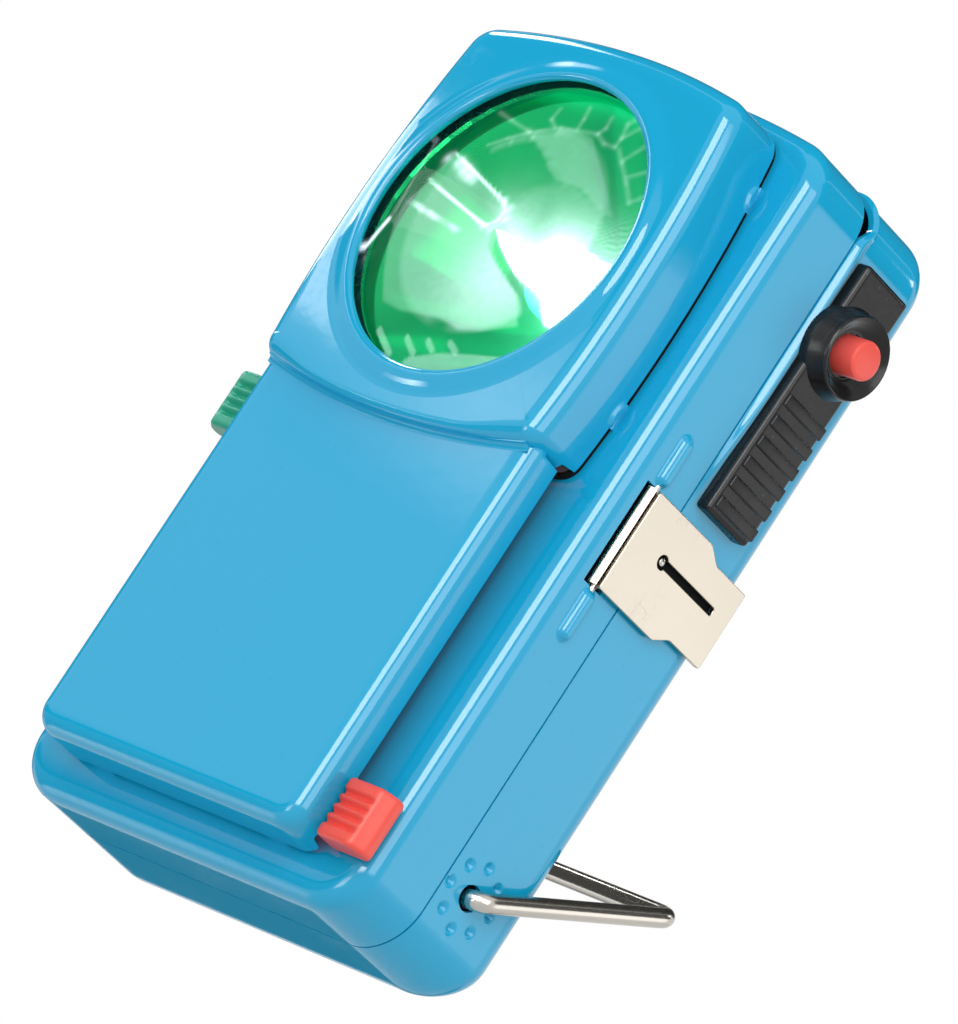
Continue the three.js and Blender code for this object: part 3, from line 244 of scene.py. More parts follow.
def rounded(points, radius, steps=5, closed=True):
    """A polygon whose corners are cut back by a radius and filled with quadratic curves."""
    points = [np.asarray(p, float) for p in points]
    out = []
    for i, here in enumerate(points):
        if not closed and i in (0, len(points) - 1):
            out.append(here)
            continue
        sides = [near - here for near in (points[i - 1], points[(i + 1) % len(points)])]
        cut = min(radius, *(0.45 * np.linalg.norm(side) for side in sides))
        start, end = (here + side / np.linalg.norm(side) * cut for side in sides)
        t = np.linspace(0, 1, steps + 1)[:, None]
        out += list((1 - t) ** 2 * start + 2 * t * (1 - t) * here + t ** 2 * end)
    return np.array(out)


def box(a, b, low, high):
    """Corners of an upright rectangle, anticlockwise."""
    return [(a, low), (b, low), (b, high), (a, high)]


def turned(profile, axis, start, count, closed=False):
    """A profile of (along, radius) pairs carried round a line along x or y, as (x, depth, z)."""
    angle = np.linspace(0, 2 * math.pi, count, endpoint=False)
    along, radius = np.asarray(profile, float).T[..., None]
    rings = joined(along + 0 * angle, radius * np.cos(angle), radius * np.sin(angle))
    points = rings[..., {"x": [0, 1, 2], "y": [1, 0, 2]}[axis]] + np.asarray(start, float)
    faces = cells(len(along), count, True).reshape(-1, 4)
    if closed:
        last, c = (len(along) - 1) * count, np.arange(count)
        faces = np.concatenate([faces, joined(last + c, last + (c + 1) % count, (c + 1) % count, c)])
    return points.reshape(-1, 3), [faces]


def loop_normals(loop):
    """Outward normals of a closed outline, from the run between each point's two neighbours."""
    run = np.roll(loop, -1, 0) - np.roll(loop, 1, 0)
    run /= np.linalg.norm(run, axis=1)[:, None]
    return joined(run[:, 1], -run[:, 0])


def slab(loops, order, low, high, edge, steps=3, under=None):
    """A plate between two levels with softened edges. The first loop is its outline, anticlockwise, and the rest are
    holes, clockwise. Rings step in along a quarter circle at both levels, and triangles fill the two faces."""
    under = edge if under is None else under
    angle = np.linspace(0, math.pi / 2, steps + 1)
    levels = [(under + 0.03, low)] + [(under - under * math.sin(a), low + under - under * math.cos(a)) for a in angle]
    levels += [(edge - edge * math.cos(a), high - edge + edge * math.sin(a)) for a in angle] + [(edge + 0.03, high)]
    points, faces, lower, upper = [], [], [], []
    start = 0
    for loop in (np.asarray(line, float) for line in loops):
        count, normal = len(loop), loop_normals(loop)
        rings = [np.column_stack([loop - inset * normal, np.full(count, level)]) for inset, level in levels]
        points += rings
        faces.append(cells(len(rings), count, True, start).reshape(-1, 4))
        lower.append((rings[0], start))
        start += len(rings) * count
        upper.append((rings[-1], start - count))
    for ends, turn in ((lower, -1), (upper, 1)):
        flat = [[Vector((x, y, 0)) for x, y, _ in ring] for ring, _ in ends]
        numbers = np.concatenate([np.arange(len(ring)) + first for ring, first in ends])
        faces.append(numbers[np.array(tessellate_polygon(flat))][:, ::turn])
    return np.concatenate(points)[:, order], faces


def swept(path, radius, count):
    """A round wire: rings square to a path of points, each ring's frame carried on from the one before."""
    path = np.asarray(path, float)
    run = np.gradient(path, axis=0)
    run /= np.linalg.norm(run, axis=1)[:, None]
    side = np.cross(run[0], [0.0, 0.0, 1.0])
    angle = np.linspace(0, 2 * math.pi, count, endpoint=False)[:, None]
    rings = []
    for place, way in zip(path, run):
        side = side - way * np.dot(side, way)
        side /= np.linalg.norm(side)
        rings.append(place + radius * (np.cos(angle) * side + np.sin(angle) * np.cross(way, side)))

    def cap(end, sign):
        """Two more rings beyond an end, the second one a point."""
        tip = path[end] + sign * run[end] * radius * 0.35
        return [tip + (rings[end] - path[end]) * share for share in (0.75, 0.0)]

    return wrapped(cap(0, -1)[::-1] + rings + cap(-1, 1))


def ease(low, high, value):
    """Nought below low, one above high, and a smooth S curve between."""
    share = np.clip((value - low) / (high - low), 0, 1)
    return share * share * (3 - 2 * share)


def mark(piece, name, formula):
    """Stores a value at every point of a piece; the formula gets the points in millimetres as (x, depth, z)."""
    places = np.empty(len(piece.data.vertices) * 3)
    piece.data.vertices.foreach_get("co", places)
    values = formula(places.reshape(-1, 3) / MM - [0, FRONT, 0])
    piece.data.attributes.new(name, "FLOAT", "POINT").data.foreach_set("value", values)


def from_run(spots, a, b):
    """Distances of places (x, z) from the straight run between two points."""
    a, b = np.array(a, float), np.array(b, float)
    share = np.clip((spots - a) @ (b - a) / ((b - a) @ (b - a)), 0, 1)
    return np.hypot(*(spots - a - share[:, None] * (b - a)).T)


def from_edge(spots, corners):
    """Distances of places from a polygon's edge, above nought inside it and below nought outside."""
    near, inside = np.full(len(spots), 1e9), np.zeros(len(spots), bool)
    for a, b in zip(corners, corners[1:] + corners[:1]):
        near = np.minimum(near, from_run(spots, a, b))
        if a[1] != b[1]:
            beside = a[0] + (spots[:, 1] - a[1]) * (b[0] - a[0]) / (b[1] - a[1])
            inside ^= ((a[1] > spots[:, 1]) != (b[1] > spots[:, 1])) & (spots[:, 0] < beside)
    return np.where(inside, near, -near)


def blob(spots, place, size):
    """A round soft spot: one in its middle, falling off with the square of the distance."""
    return np.exp(-(np.hypot(*(spots - place).T) / size) ** 2)


# Finishes

def node(tree, kind, inputs=(), **settings):
    """Adds a node, sets its properties, and sets or links its inputs."""
    made = tree.nodes.new(kind)
    for key, value in settings.items():
        setattr(made, key, value)
    for key, value in dict(inputs).items():
        if isinstance(value, bpy.types.NodeSocket):
            tree.links.new(value, made.inputs[key])
        else:
            made.inputs[key].default_value = value
    return made


def effect(name, inputs, outputs, fill):
    """Builds a shared effect as a node group of plain numbers. Inputs are names with their values."""
    tree = bpy.data.node_groups.new(name, "ShaderNodeTree")
    for label, value in inputs.items():
        tree.interface.new_socket(label, in_out="INPUT", socket_type="NodeSocketFloat").default_value = value
    for label in outputs:
        tree.interface.new_socket(label, in_out="OUTPUT", socket_type="NodeSocketFloat")
    fill(tree, tree.nodes.new("NodeGroupInput").outputs, tree.nodes.new("NodeGroupOutput").inputs)
    return tree


def calc(tree, how, a, b=0.0, clamp=False):
    """The result of one sum on two values or sockets."""
    return node(tree, "ShaderNodeMath", {0: a, 1: b}, operation=how, use_clamp=clamp).outputs[0]


def noise(tree, place, scale, detail):
    """A noise's value at a place."""
    return node(tree, "ShaderNodeTexNoise", {"Vector": place, "Scale": scale, "Detail": detail}).outputs["Fac"]


def mixed(tree, share, a, b):
    """A colour between two others, by a share."""
    a, b = (colour if isinstance(colour, bpy.types.NodeSocket) else (*colour, 1) for colour in (a, b))
    return node(tree, "ShaderNodeMix", {0: share, "A": a, "B": b}, data_type="RGBA").outputs["Result"]


def own_place(tree):
    """The point's place in the object's own frame."""
    return node(tree, "ShaderNodeTexCoord").outputs["Object"]


def fill_texture(tree, given, result):
    """Low waves of the sprayed and stoved skin, and a finer grain on them, as one height; a slow drift in tone."""
    place = own_place(tree)
    wave, grain = noise(tree, place, given["Wave"], 2.0), noise(tree, place, given["Grain"], 3.0)
    height = calc(tree, "ADD", wave, calc(tree, "MULTIPLY", grain, given["Grain share"]))
    tree.links.new(height, result["Height"])
    tree.links.new(noise(tree, place, 28.0, 3.0), result["Drift"])


def fill_marks(tree, given, result):
    """Fine handling scratches: thin lines where a stretched noise crosses its middle, kept only in a few patches,
    and small dust specks where a cell pattern comes close to its centres."""
    place = own_place(tree)
    total = 0.0
    for turn, stretch in (((0.3, 0.5, 0.2), (60, 900, 420)), ((1.1, 0.2, 0.9), (800, 50, 500)),
                          ((0.5, 1.3, 0.4), (500, 700, 45))):
        mapped = node(tree, "ShaderNodeMapping", {"Vector": place, "Rotation": turn, "Scale": stretch}).outputs[0]
        off = calc(tree, "ABSOLUTE", calc(tree, "SUBTRACT", noise(tree, mapped, 1.0, 1.0), 0.5))
        thin = calc(tree, "SUBTRACT", 1.0, calc(tree, "MULTIPLY", off, 70.0), True)
        total = calc(tree, "MAXIMUM", total, thin)
    some = calc(tree, "MULTIPLY", calc(tree, "SUBTRACT", noise(tree, place, 70.0, 2.0), 0.52), 7.0, True)
    tree.links.new(calc(tree, "MULTIPLY", total, some), result["Scratches"])
    dots = node(tree, "ShaderNodeTexVoronoi", {"Vector": place, "Scale": given["Speck scale"]}, feature="F1").outputs
    near = calc(tree, "SUBTRACT", given["Speck size"], dots["Distance"])
    draw = node(tree, "ShaderNodeSeparateColor", {0: dots["Color"]}).outputs[0]
    chosen = calc(tree, "GREATER_THAN", draw, given["Speck rarity"])
    tree.links.new(calc(tree, "MULTIPLY", calc(tree, "MULTIPLY", near, 12.0, True), chosen), result["Specks"])


texture_group = effect("surface_texture", {"Wave": 220.0, "Grain": 3000.0, "Grain share": 0.2}, ["Height", "Drift"],
                       fill_texture)
marks_group = effect("handling_marks", {"Speck scale": 420.0, "Speck size": 0.12, "Speck rarity": 0.7},
                     ["Scratches", "Specks"], fill_marks)


def painted(name):
    """A new material, its tree and its shader."""
    made = bpy.data.materials.new(name)
    made.use_nodes = True
    return made, made.node_tree, made.node_tree.nodes["Principled BSDF"]


def fixed(shader, **sockets):
    """Sets plain values on a shader's sockets."""
    for key, value in sockets.items():
        shader.inputs[key.replace("_", " ")].default_value = value


def textured(tree, shader, bump, **inputs):
    """Tilts the shader's normal by the texture's height, and gives its drift in tone."""
    inputs = {key.replace("_", " "): value for key, value in inputs.items()}
    skin = node(tree, "ShaderNodeGroup", inputs, node_tree=texture_group).outputs
    tilt = node(tree, "ShaderNodeBump", {"Height": skin["Height"], "Strength": bump, "Distance": 0.0004})
    tree.links.new(tilt.outputs[0], shader.inputs["Normal"])
    return skin["Drift"]


def finish(name, colour, worn, roughness, metallic=0.0, wave=220.0, grain=3000.0, grain_share=0.2, bump=0.05,
           scratches=0.15, specks=0.3, specked=None, drift=0.12, **sockets):
    """A finish: base colour that drifts a little towards a worn tone, with specks and scratches over it; the
    roughness rises in the scratches, and the texture's height tilts the normal."""
    made, tree, shader = painted(name)
    slow = textured(tree, shader, bump, Wave=wave, Grain=grain, Grain_share=grain_share)
    marks = node(tree, "ShaderNodeGroup", node_tree=marks_group).outputs
    line = calc(tree, "MULTIPLY", marks["Scratches"], scratches)
    tone = mixed(tree, calc(tree, "MULTIPLY", slow, drift * 2), colour, worn)
    tone = mixed(tree, calc(tree, "MULTIPLY", marks["Specks"], specks), tone, specked or worn)
    tree.links.new(mixed(tree, line, tone, worn), shader.inputs["Base Color"])
    rough = calc(tree, "ADD", calc(tree, "MULTIPLY", slow, roughness * 0.4), roughness * 0.8)
    tree.links.new(calc(tree, "ADD", rough, line), shader.inputs["Roughness"])
    fixed(shader, Metallic=metallic, **sockets)
    return made


blue = finish("sky_blue_enamel", (0.006, 0.375, 0.640), (0.02, 0.42, 0.69), 0.065, wave=160.0, grain=1500.0,
              grain_share=0.12, bump=0.035, scratches=0.10, specks=0.25, specked=(0.012, 0.21, 0.42), drift=0.06,
              Specular_IOR_Level=0.55)
nickel = finish("warm_nickel", (0.52, 0.475, 0.405), (0.42, 0.375, 0.31), 0.24, 1.0, wave=400.0, scratches=0.2)
steel = finish("bright_steel_wire", (0.56, 0.53, 0.48), (0.34, 0.31, 0.27), 0.20, 1.0, wave=500.0, scratches=0.3)
mirror = finish("polished_reflector", (0.46, 0.47, 0.46), (0.38, 0.39, 0.38), 0.10, 1.0, wave=120.0, scratches=0.05,
                specks=0.1)
brass = finish("dull_brass", (0.62, 0.42, 0.14), (0.38, 0.24, 0.08), 0.32, 1.0, wave=300.0, bump=0.1, scratches=0.3)
green_plastic = finish("moulded_green", (0.014, 0.34, 0.21), (0.010, 0.27, 0.17), 0.34, wave=600.0, bump=0.06,
                       specks=0.15)
red_plastic = finish("moulded_red", (0.86, 0.090, 0.065), (0.72, 0.060, 0.045), 0.34, wave=600.0, bump=0.06,
                     specks=0.15)
black_plastic = finish("satin_black", (0.0075, 0.0075, 0.0078), (0.026, 0.026, 0.026), 0.22, wave=700.0, grain=4000.0,
                       grain_share=0.5, bump=0.08, scratches=0.25, specks=0.5, specked=(0.07, 0.07, 0.07),
                       Specular_IOR_Level=0.28)
# Painted shade: a near-black dull finish for the sheets put in the cover's gap and under the clasp's slot, where there
# is only shade.
shade_paint = finish("painted_shade", (0.006, 0.007, 0.008), (0.012, 0.012, 0.012), 0.8, wave=400.0, bump=0.1,
                     Specular_IOR_Level=0.1)
fibre = finish("brown_fibre", (0.26, 0.11, 0.045), (0.16, 0.07, 0.03), 0.7, wave=900.0, bump=0.3, specks=0.6)
wrap = finish("battery_wrap", (0.10, 0.14, 0.19), (0.16, 0.20, 0.25), 0.55, wave=250.0, bump=0.12)


def clear(name, colour, ior):
    """A clear pane: plain transmission with a faint wave in its faces."""
    made, tree, shader = painted(name)
    slow = textured(tree, shader, 0.03, Wave=90.0, Grain_share=0.02)
    tree.links.new(mixed(tree, slow, colour, [c * 0.96 for c in colour]), shader.inputs["Base Color"])
    fixed(shader, Roughness=0.02, Transmission_Weight=1.0, IOR=ior)
    return made


def lit(material, colour, strength, mottle=0.25, fine=700.0, scratch_glints=0.0):
    """Adds painted light to a finish as emission, standing in for the lamp's light and reflections on it: as strong as
    the value "glow" stored at the points, times a soft mottling, and a share more in fine scratches and specks as
    painted glints."""
    tree = material.node_tree
    shader = tree.nodes["Principled BSDF"]
    glow = node(tree, "ShaderNodeAttribute", attribute_name="glow").outputs["Fac"]
    cloud = noise(tree, own_place(tree), fine, 4.0)
    swing = node(tree, "ShaderNodeMapRange", {"Value": cloud, "To Min": 1 - mottle, "To Max": 1 + mottle}).outputs[0]
    share = calc(tree, "MULTIPLY", glow, swing)
    if scratch_glints:
        marks = node(tree, "ShaderNodeGroup", {"Speck scale": 900.0, "Speck rarity": 0.88}, node_tree=marks_group)
        lines = calc(tree, "ADD", marks.outputs["Scratches"], calc(tree, "MULTIPLY", marks.outputs["Specks"], 3.0))
        shown = calc(tree, "MULTIPLY", calc(tree, "MULTIPLY", glow, 4.0, True), scratch_glints)
        share = calc(tree, "ADD", share, calc(tree, "MULTIPLY", lines, shown))
    tree.links.new(mixed(tree, share, (0, 0, 0), colour), shader.inputs["Emission Color"])
    fixed(shader, Emission_Strength=strength)
    material.cycles.emission_sampling = "NONE"
    return material


# Painted light as emission: on the lens the lamp's light and painted reflections of the room, on the panes the bulb's
# light scattered in them, on the reflector the bulb's light on its face, and on the globe the lit bulb's light.
clear_glass = lit(clear("lens_glass", (0.97, 1.0, 0.98), 1.10), (0.76, 0.89, 1.0), 2.0, 0.2, 900.0, 0.056)
lamp_glass = lit(clear("lamp_glass", (0.98, 1.0, 0.98), 1.3), (1.0, 0.97, 0.90), 2.4)
green_glass = lit(clear("green_pane", (0.012, 0.48, 0.21), 1.02), (0.0, 0.235, 0.080), 1.0, 0.12, 260.0)
red_glass = lit(clear("red_pane", (0.80, 0.02, 0.02), 1.02), (0.40, 0.008, 0.008), 1.0, 0.12, 260.0)
lit(mirror, (1.0, 1.0, 0.97), 6.0, 0.2, 500.0)


# Camera and lights

EYE = Vector((865.56, -807.49, -205.43)) * MM
AHEAD, ABOVE = Vector((-0.7135, 0.6648, 0.2212)), Vector((-0.237, -0.5261, 0.8167))
right = AHEAD.cross(ABOVE).normalized()
lens_data = bpy.data.cameras.new("camera")
lens_data.sensor_fit, lens_data.sensor_height, lens_data.lens = "VERTICAL", 36.0, 316.4
lens_data.clip_start, lens_data.clip_end = 0.05, 60
camera = placed("camera", lens_data)
camera.matrix_world = Matrix([*zip(right, right.cross(AHEAD).normalized(), -AHEAD, EYE), (0, 0, 0, 1)])
bpy.context.scene.camera = camera
bpy.context.scene.view_settings.view_transform = "Standard"


def softbox(name, way, size, radiance):
    """A lamp 1.1 m from the object's middle, in a given direction; its power follows from its radiance and area."""
    data = bpy.data.lights.new(name, "AREA")
    data.shape = "RECTANGLE"
    data.size, data.size_y = size
    data.energy = radiance * math.pi * size[0] * size[1]
    lamp = placed(name, data)
    way = Vector(way).normalized()
    turn = way.to_track_quat("Z", "Y").to_matrix().to_4x4()
    lamp.matrix_world = Matrix.Translation(Vector(MIDDLE) * MM + way * 1.1) @ turn
    lamp.visible_camera = lamp.visible_glossy = False


softbox("front_right_light", (0.64, -0.74, 0.22), (0.50, 1.0), 3.3)
softbox("side_light", (0.7135, 0.68, 0.18), (0.62, 0.52), 1.5)
softbox("low_light", (-0.71, -0.65, -0.26), (0.30, 0.10), 12.0)
softbox("left_light", (-0.97, -0.05, 0.22), (0.12, 0.9), 12.0)
softbox("overhead_light", (-0.1, -0.55, 1.0), (0.9, 0.6), 1.2)


def flat_mesh(name, corners, material):
    """A mesh of one four-cornered face."""
    mesh = bpy.data.meshes.new(name)
    mesh.from_pydata(corners, [], [(0, 1, 2, 3)])
    mesh.materials.append(material)
    return mesh


def see_through(tree, share, first, second):
    """Ends a material in a mix of two shaders, the missing one of which lets everything through."""
    first, second = (shader or node(tree, "ShaderNodeBsdfTransparent") for shader in (first, second))
    mix = node(tree, "ShaderNodeMixShader", {0: share, 1: first.outputs[0], 2: second.outputs[0]})
    tree.links.new(mix.outputs[0], tree.nodes["Material Output"].inputs["Surface"])


def card(name, way, far, width, height, level, edge=1.0, soft=0.1, near=MIDDLE):
    """A card that only reflections see. It faces a place in millimetres from a way and a distance in metres. Its
    radiance is the level in the middle and eases to the edge value, which is that of the white surroundings unless
    another card is behind. Sight passes through it from its back."""
    name = "card_" + name
    way = Vector(way).normalized()
    middle = Vector(near) * MM + way * far
    across = way.cross(Vector((0, 0, 1))).normalized() * width / 2
    up = across.cross(way).normalized() * height / 2
    paint, tree, shader = painted(name)
    fixed(shader, Base_Color=(0, 0, 0, 1), Specular_IOR_Level=0, Emission_Color=(1, 1, 1, 1))
    place = node(tree, "ShaderNodeSeparateXYZ", {0: node(tree, "ShaderNodeTexCoord").outputs["UV"]})
    share = 1.0
    for side in (0, 1):
        off = calc(tree, "ABSOLUTE", calc(tree, "SUBTRACT", place.outputs[side], 0.5))
        fade = node(tree, "ShaderNodeMapRange", {"Value": off, "From Min": 0.5, "From Max": 0.5 - soft},
                    interpolation_type="SMOOTHSTEP")
        share = calc(tree, "MULTIPLY", fade.outputs[0], share)
    strength = node(tree, "ShaderNodeMapRange", {"Value": share, "To Min": edge, "To Max": level})
    tree.links.new(strength.outputs[0], shader.inputs["Emission Strength"])
    see_through(tree, node(tree, "ShaderNodeNewGeometry").outputs["Backfacing"], shader, None)
    paint.cycles.emission_sampling = "NONE"
    corners = [middle - across - up, middle + across - up, middle + across + up, middle - across + up]
    mesh = flat_mesh(name, corners, paint)
    mesh.uv_layers.new(name="across").data.foreach_set("uv", [0, 0, 1, 0, 1, 1, 0, 1])
    made = placed(name, mesh)
    made.visible_camera = made.visible_diffuse = made.visible_shadow = made.visible_transmission = False


def bearing(turn, rise):
    """A way from a bearing in degrees (nought ahead of the front face, growing to the right) and a rise in degrees."""
    turn, rise = math.radians(turn), math.radians(rise)
    return math.sin(turn) * math.cos(rise), -math.cos(turn) * math.cos(rise), math.sin(rise)


card("before_front", bearing(20.5, 13), 1.10, 0.60, 0.85, 10.0)
card("before_side", bearing(66, 13), 1.10, 0.78, 0.85, 4.2)
card("side", bearing(133, 8), 1.05, 0.80, 1.00, 1.9, soft=0.38)
card("side_high", bearing(133, 37), 0.90, 0.71, 0.55, 0.10, soft=0.08)
card("corner", bearing(-4, -20), 1.10, 0.45, 0.50, 8.0, soft=0.3)
card("dents", (0.30, 0.665, 0.69), 0.60, 0.10, 0.08, 8.0, edge=0.1, soft=0.3, near=(35, 3, 14))
card("front_high", bearing(-47, 30), 0.80, 0.80, 0.50, 0.12, soft=0.12)
card("front_glow", (-0.7135, -0.655, 0.235), 0.50, 0.075, 0.055, 3.2, edge=0.9, soft=0.5, near=(20, -26, 67))
card("front_low", bearing(-50, -13), 0.15, 0.29, 0.13, 0.03, soft=0.12, near=(-12, -20, 4))
card("left_dark", bearing(-100, 13), 1.00, 1.30, 0.95, 0.08)
card("left_pale", bearing(-70, 13), 0.40, 0.34, 0.044, 6.0, edge=0.3, soft=0.004, near=(-1, 0.4, 96.0))
card("below", (-0.71, -0.19, -0.60), 0.90, 0.75, 0.42, 2.7, soft=0.5, near=(0, -10, 3))
card("collar", (-0.7135, -0.655, -0.22), 0.20, 0.060, 0.030, 16.0, edge=0.5, soft=0.3, near=(8, -26.9, 67))
card("collar_lip", (-0.71, -0.14, 0.69), 0.30, 0.12, 0.06, 14.0, edge=0.5, soft=0.3, near=(0, -26, 70))
card("under_rear", (0, 0.01, -1), 0.022, 0.25, 0.06, 0.05, soft=0.15, near=(-71, 92, 0))
# Painted shade for reflections: a dark card laid just off the case's back, standing for the back face's shade where the
# bail mirrors it.
card("behind", (0, -1, 0), 0.019, 0.080, 0.085, 0.10, edge=0.1, near=(-10, 35, 32))
card("over", (-0.33, 0.33, 0.88), 1.00, 1.95, 1.50, 0.05)

world = bpy.data.worlds.new("studio")
bpy.context.scene.world = world
world.use_nodes = True
tree = world.node_tree
path = node(tree, "ShaderNodeLightPath").outputs
seen = calc(tree, "MAXIMUM", path["Is Camera Ray"], path["Is Glossy Ray"])
seen = calc(tree, "MAXIMUM", seen, path["Is Transmission Ray"])
power = node(tree, "ShaderNodeMapRange", {"Value": seen, "To Min": 0.66, "To Max": 1.0})
tree.nodes["Background"].inputs["Color"].default_value = (1, 1, 1, 1)
tree.links.new(power.outputs[0], tree.nodes["Background"].inputs["Strength"])

# The floor, in metres, shows and takes shadows where the camera is above it; from below, light and sight pass through
floor_paint, tree, paint = painted("pale_floor")
path = node(tree, "ShaderNodeLightPath").outputs
above = calc(tree, "SUBTRACT", 1.0, node(tree, "ShaderNodeNewGeometry").outputs["Backfacing"])
mirrored = calc(tree, "MULTIPLY", path["Is Glossy Ray"], 0.35)
shown = calc(tree, "MULTIPLY", calc(tree, "MAXIMUM", path["Is Camera Ray"], mirrored), above)
fixed(paint, Base_Color=(0.86, 0.86, 0.86, 1), Roughness=0.9)
see_through(tree, shown, None, paint)
FLOOR_HALF, FLOOR_Z = 6, -0.0003
ends = (-FLOOR_HALF, FLOOR_HALF)
floor = placed("floor", flat_mesh("floor", [(x, y, FLOOR_Z) for x, y in box(*ends, *ends)], floor_paint))


# The two trays

centre = np.array([0.0, LAMP_Z])


def midway(values):
    """The middle between each column's value and the next one's."""
    return (values + np.roll(values, -1)) / 2


def both(chosen):
    """Where a column and the next one are both chosen."""
    return chosen & np.roll(chosen, -1, -1)


def knuckles(first, toward):
    """Rolled hinge knuckles on the left edge: every second one, each a curl with a web to the tray."""
    x, pitch = -CASE_HALF - KNUCKLE - PLAY, KNUCKLE_LONG + PLAY
    angle = np.linspace(0, 2 * math.pi, 40, endpoint=False)
    curl = joined(x + KNUCKLE * np.cos(angle), SEAM + KNUCKLE * np.sin(angle))
    bore = joined(x + KNUCKLE / 2 * np.cos(-angle), SEAM + KNUCKLE / 2 * np.sin(-angle))
    web = box(x, -CASE_HALF + 0.1, *sorted([SEAM + toward * SHEET, SEAM + toward * KNUCKLE]))
    parts = []
    for place in range(first, KNUCKLES, 2):
        low = HINGE_Z - (KNUCKLES * pitch - PLAY) / 2 + place * pitch
        parts.append(slab([curl, bore], UPWARDS, low, low + KNUCKLE_LONG, 0.15))
        parts.append(slab([web], UPWARDS, low + 0.02, low + KNUCKLE_LONG - 0.02, 0.1))
    return parts


def front_tray():
    """Front tray: wall from the seam to the fillet, then the flat face in to the lamp's opening. Two soft beads
    over the clasp's pin rise with the distance from their middle line, and cells are left out for the barrel."""
    slot_low, slot_high, slot_near, slot_far = CLASP_LOW - PLAY, CLASP_HIGH + PLAY, 4.1, 8.2
    fillet, opening, bead_half, bead_off = 3.0, 21.2, 2.7, 4.6
    beads_low, beads_high = slot_low - 9, slot_high + 9.2
    dense = (beads_low, slot_low, 0.2), (slot_low, slot_high, 1.0), (slot_high, beads_high, 0.2)
    outline = case_outline(stops(CORNER, SIDE_TOP, 2.0, *dense))
    z, right_side = outline[:, 1], outline[:, 2] > 0.99
    rim = SEAM - SEAM_GAP
    depths = stops(fillet, rim, 0.8, (slot_near, slot_far, 0.17))[::-1]

    def skin(thick):
        """One face of the tray's sheet."""
        inset, depth = pressed(rim, 0.0, np.full(len(z), fillet), (depths - rim) / (fillet - rim), thick)
        for middle in (CLASP_HIGH + bead_off, CLASP_LOW - bead_off):
            far = np.hypot(np.maximum(np.abs(z - middle) - bead_half, 0), depth - CLASP_DEPTH)
            inset = inset - np.where(right_side, 1 - ease(0.35, 1.5, far), 0)
        body = drawn(outline, inset, depth)
        return np.concatenate([body, inwards(body[-1], centre, opening, (0.04, 0.2, 0.5, 0.8, 1.0))])

    outer = skin(0.0)
    beside = both(right_side) & (midway(z) > slot_low) & (midway(z) < slot_high)
    level = (outer[:-1, 0, 1] + outer[1:, 0, 1]) / 2
    barrel_slot = ((level > slot_near) & (level < slot_far))[:, None] & beside
    add_piece("front_tray", "front_case", *several(shell(outer, skin(SHEET), ~barrel_slot), *knuckles(1, -1)), blue,
              ["front_shell"], "blue_enamel")


def rear_tray():
    """Rear tray: its back fillet grows towards the bottom. Round the bail's hole the grid runs from squares to the
    hole's circle, and eight small dents stand in a ring; a raised lip follows the upper right of the rim. Two slots
    under the slider let its stem and the key's through."""
    hole, blend_end, dent_ring, dent_deep = 2.0, 3.8, 4.75, 0.72
    outline = case_outline(stops(CORNER, SIDE_TOP, 1.6, (CORNER, 19.2, 0.2)))
    x, z, nx, nz = outline.T
    rim, side_end = SEAM + SEAM_GAP, CASE_DEPTH - 5.0
    depths = stops(rim, side_end, 1.0, (rim, 13.9, 0.11), (13.9, 16.3, 0.2), (16.3, 20.3, 0.2), (20.3, 24.3, 0.2))
    fillet = 5.0 + 2.5 * np.maximum(0, -nz) ** 2
    wall = np.abs(nx) > 0.99

    def skin(thick):
        """One face of the tray's sheet, and each point's distance from the bail's hole, measured as a square's."""
        inset, level = pressed(rim, CASE_DEPTH, fillet, (depths - rim) / (side_end - rim), thick)
        dy, dz = level - BAIL_DEPTH, z - BAIL_Z + 0 * level
        square = np.maximum(np.abs(dy), np.abs(dz))
        grow = 1 + (square / np.maximum(np.hypot(dy, dz), 1e-6) - 1) * (1 - ease(hole, blend_end, square))
        grow = np.where(wall & (square < blend_end), grow, 1)
        dy, dz = dy * grow, dz * grow
        height = BAIL_Z + dz
        for angle in np.arange(8) * math.pi / 4:
            away = np.hypot(dy - dent_ring * math.cos(angle), dz - dent_ring * math.sin(angle))
            inset = inset + np.where(wall, dent_deep * np.clip(1 - away, 0, 1) ** 1.3, 0)
        corner = ease(112, 119, height)
        lift = ease(72, 93.5, height) * (ease(0, 34, x) * (1 - corner) + 0.6 * corner * ease(22, 30, x))
        lip = ease(rim - 0.1, rim + 0.75, level) * (1 - ease(rim + 0.9, rim + 2.6, level))
        drop = 2.2 * ease(115.5, 119.5, z) * ease(17, 25, x) * (1 - ease(rim, rim + 3.5, level))
        body = drawn(outline, inset - lift * lip * (x > 0), BAIL_DEPTH + dy + drop, height)
        return np.concatenate([body, inwards(body[-1], (0.0, 60.0), 0.0, (0.03, 0.3, 0.7, 1.0))]), square

    (outer, square), (inner, _) = skin(0.0), skin(SHEET)
    in_hole = both(square < hole + 0.01)
    in_hole = in_hole[:-1] & in_hole[1:] & both(wall)
    keep = np.ones((len(outer) - 1, len(outline)), bool)
    keep[: len(in_hole)] &= ~in_hole
    deep, middle = (outer[:-1, :, 1] + outer[1:, :, 1]) / 2, midway(z)
    for low, high, near, far in ((-22.4, -11, 16.9, 20.6), (-2.2, 6.2, 17.3, 20.7)):
        keep &= ~((deep > near) & (deep < far) & (middle > BOSS_Z + low) & (middle < BOSS_Z + high) & (nx > 0.99))
    add_piece("rear_tray", "rear_lid", *several(shell(outer, inner, keep), *knuckles(0, 1)), blue, ["rear_shell"],
              "blue_enamel")


# The cover

head_line = head_outline()

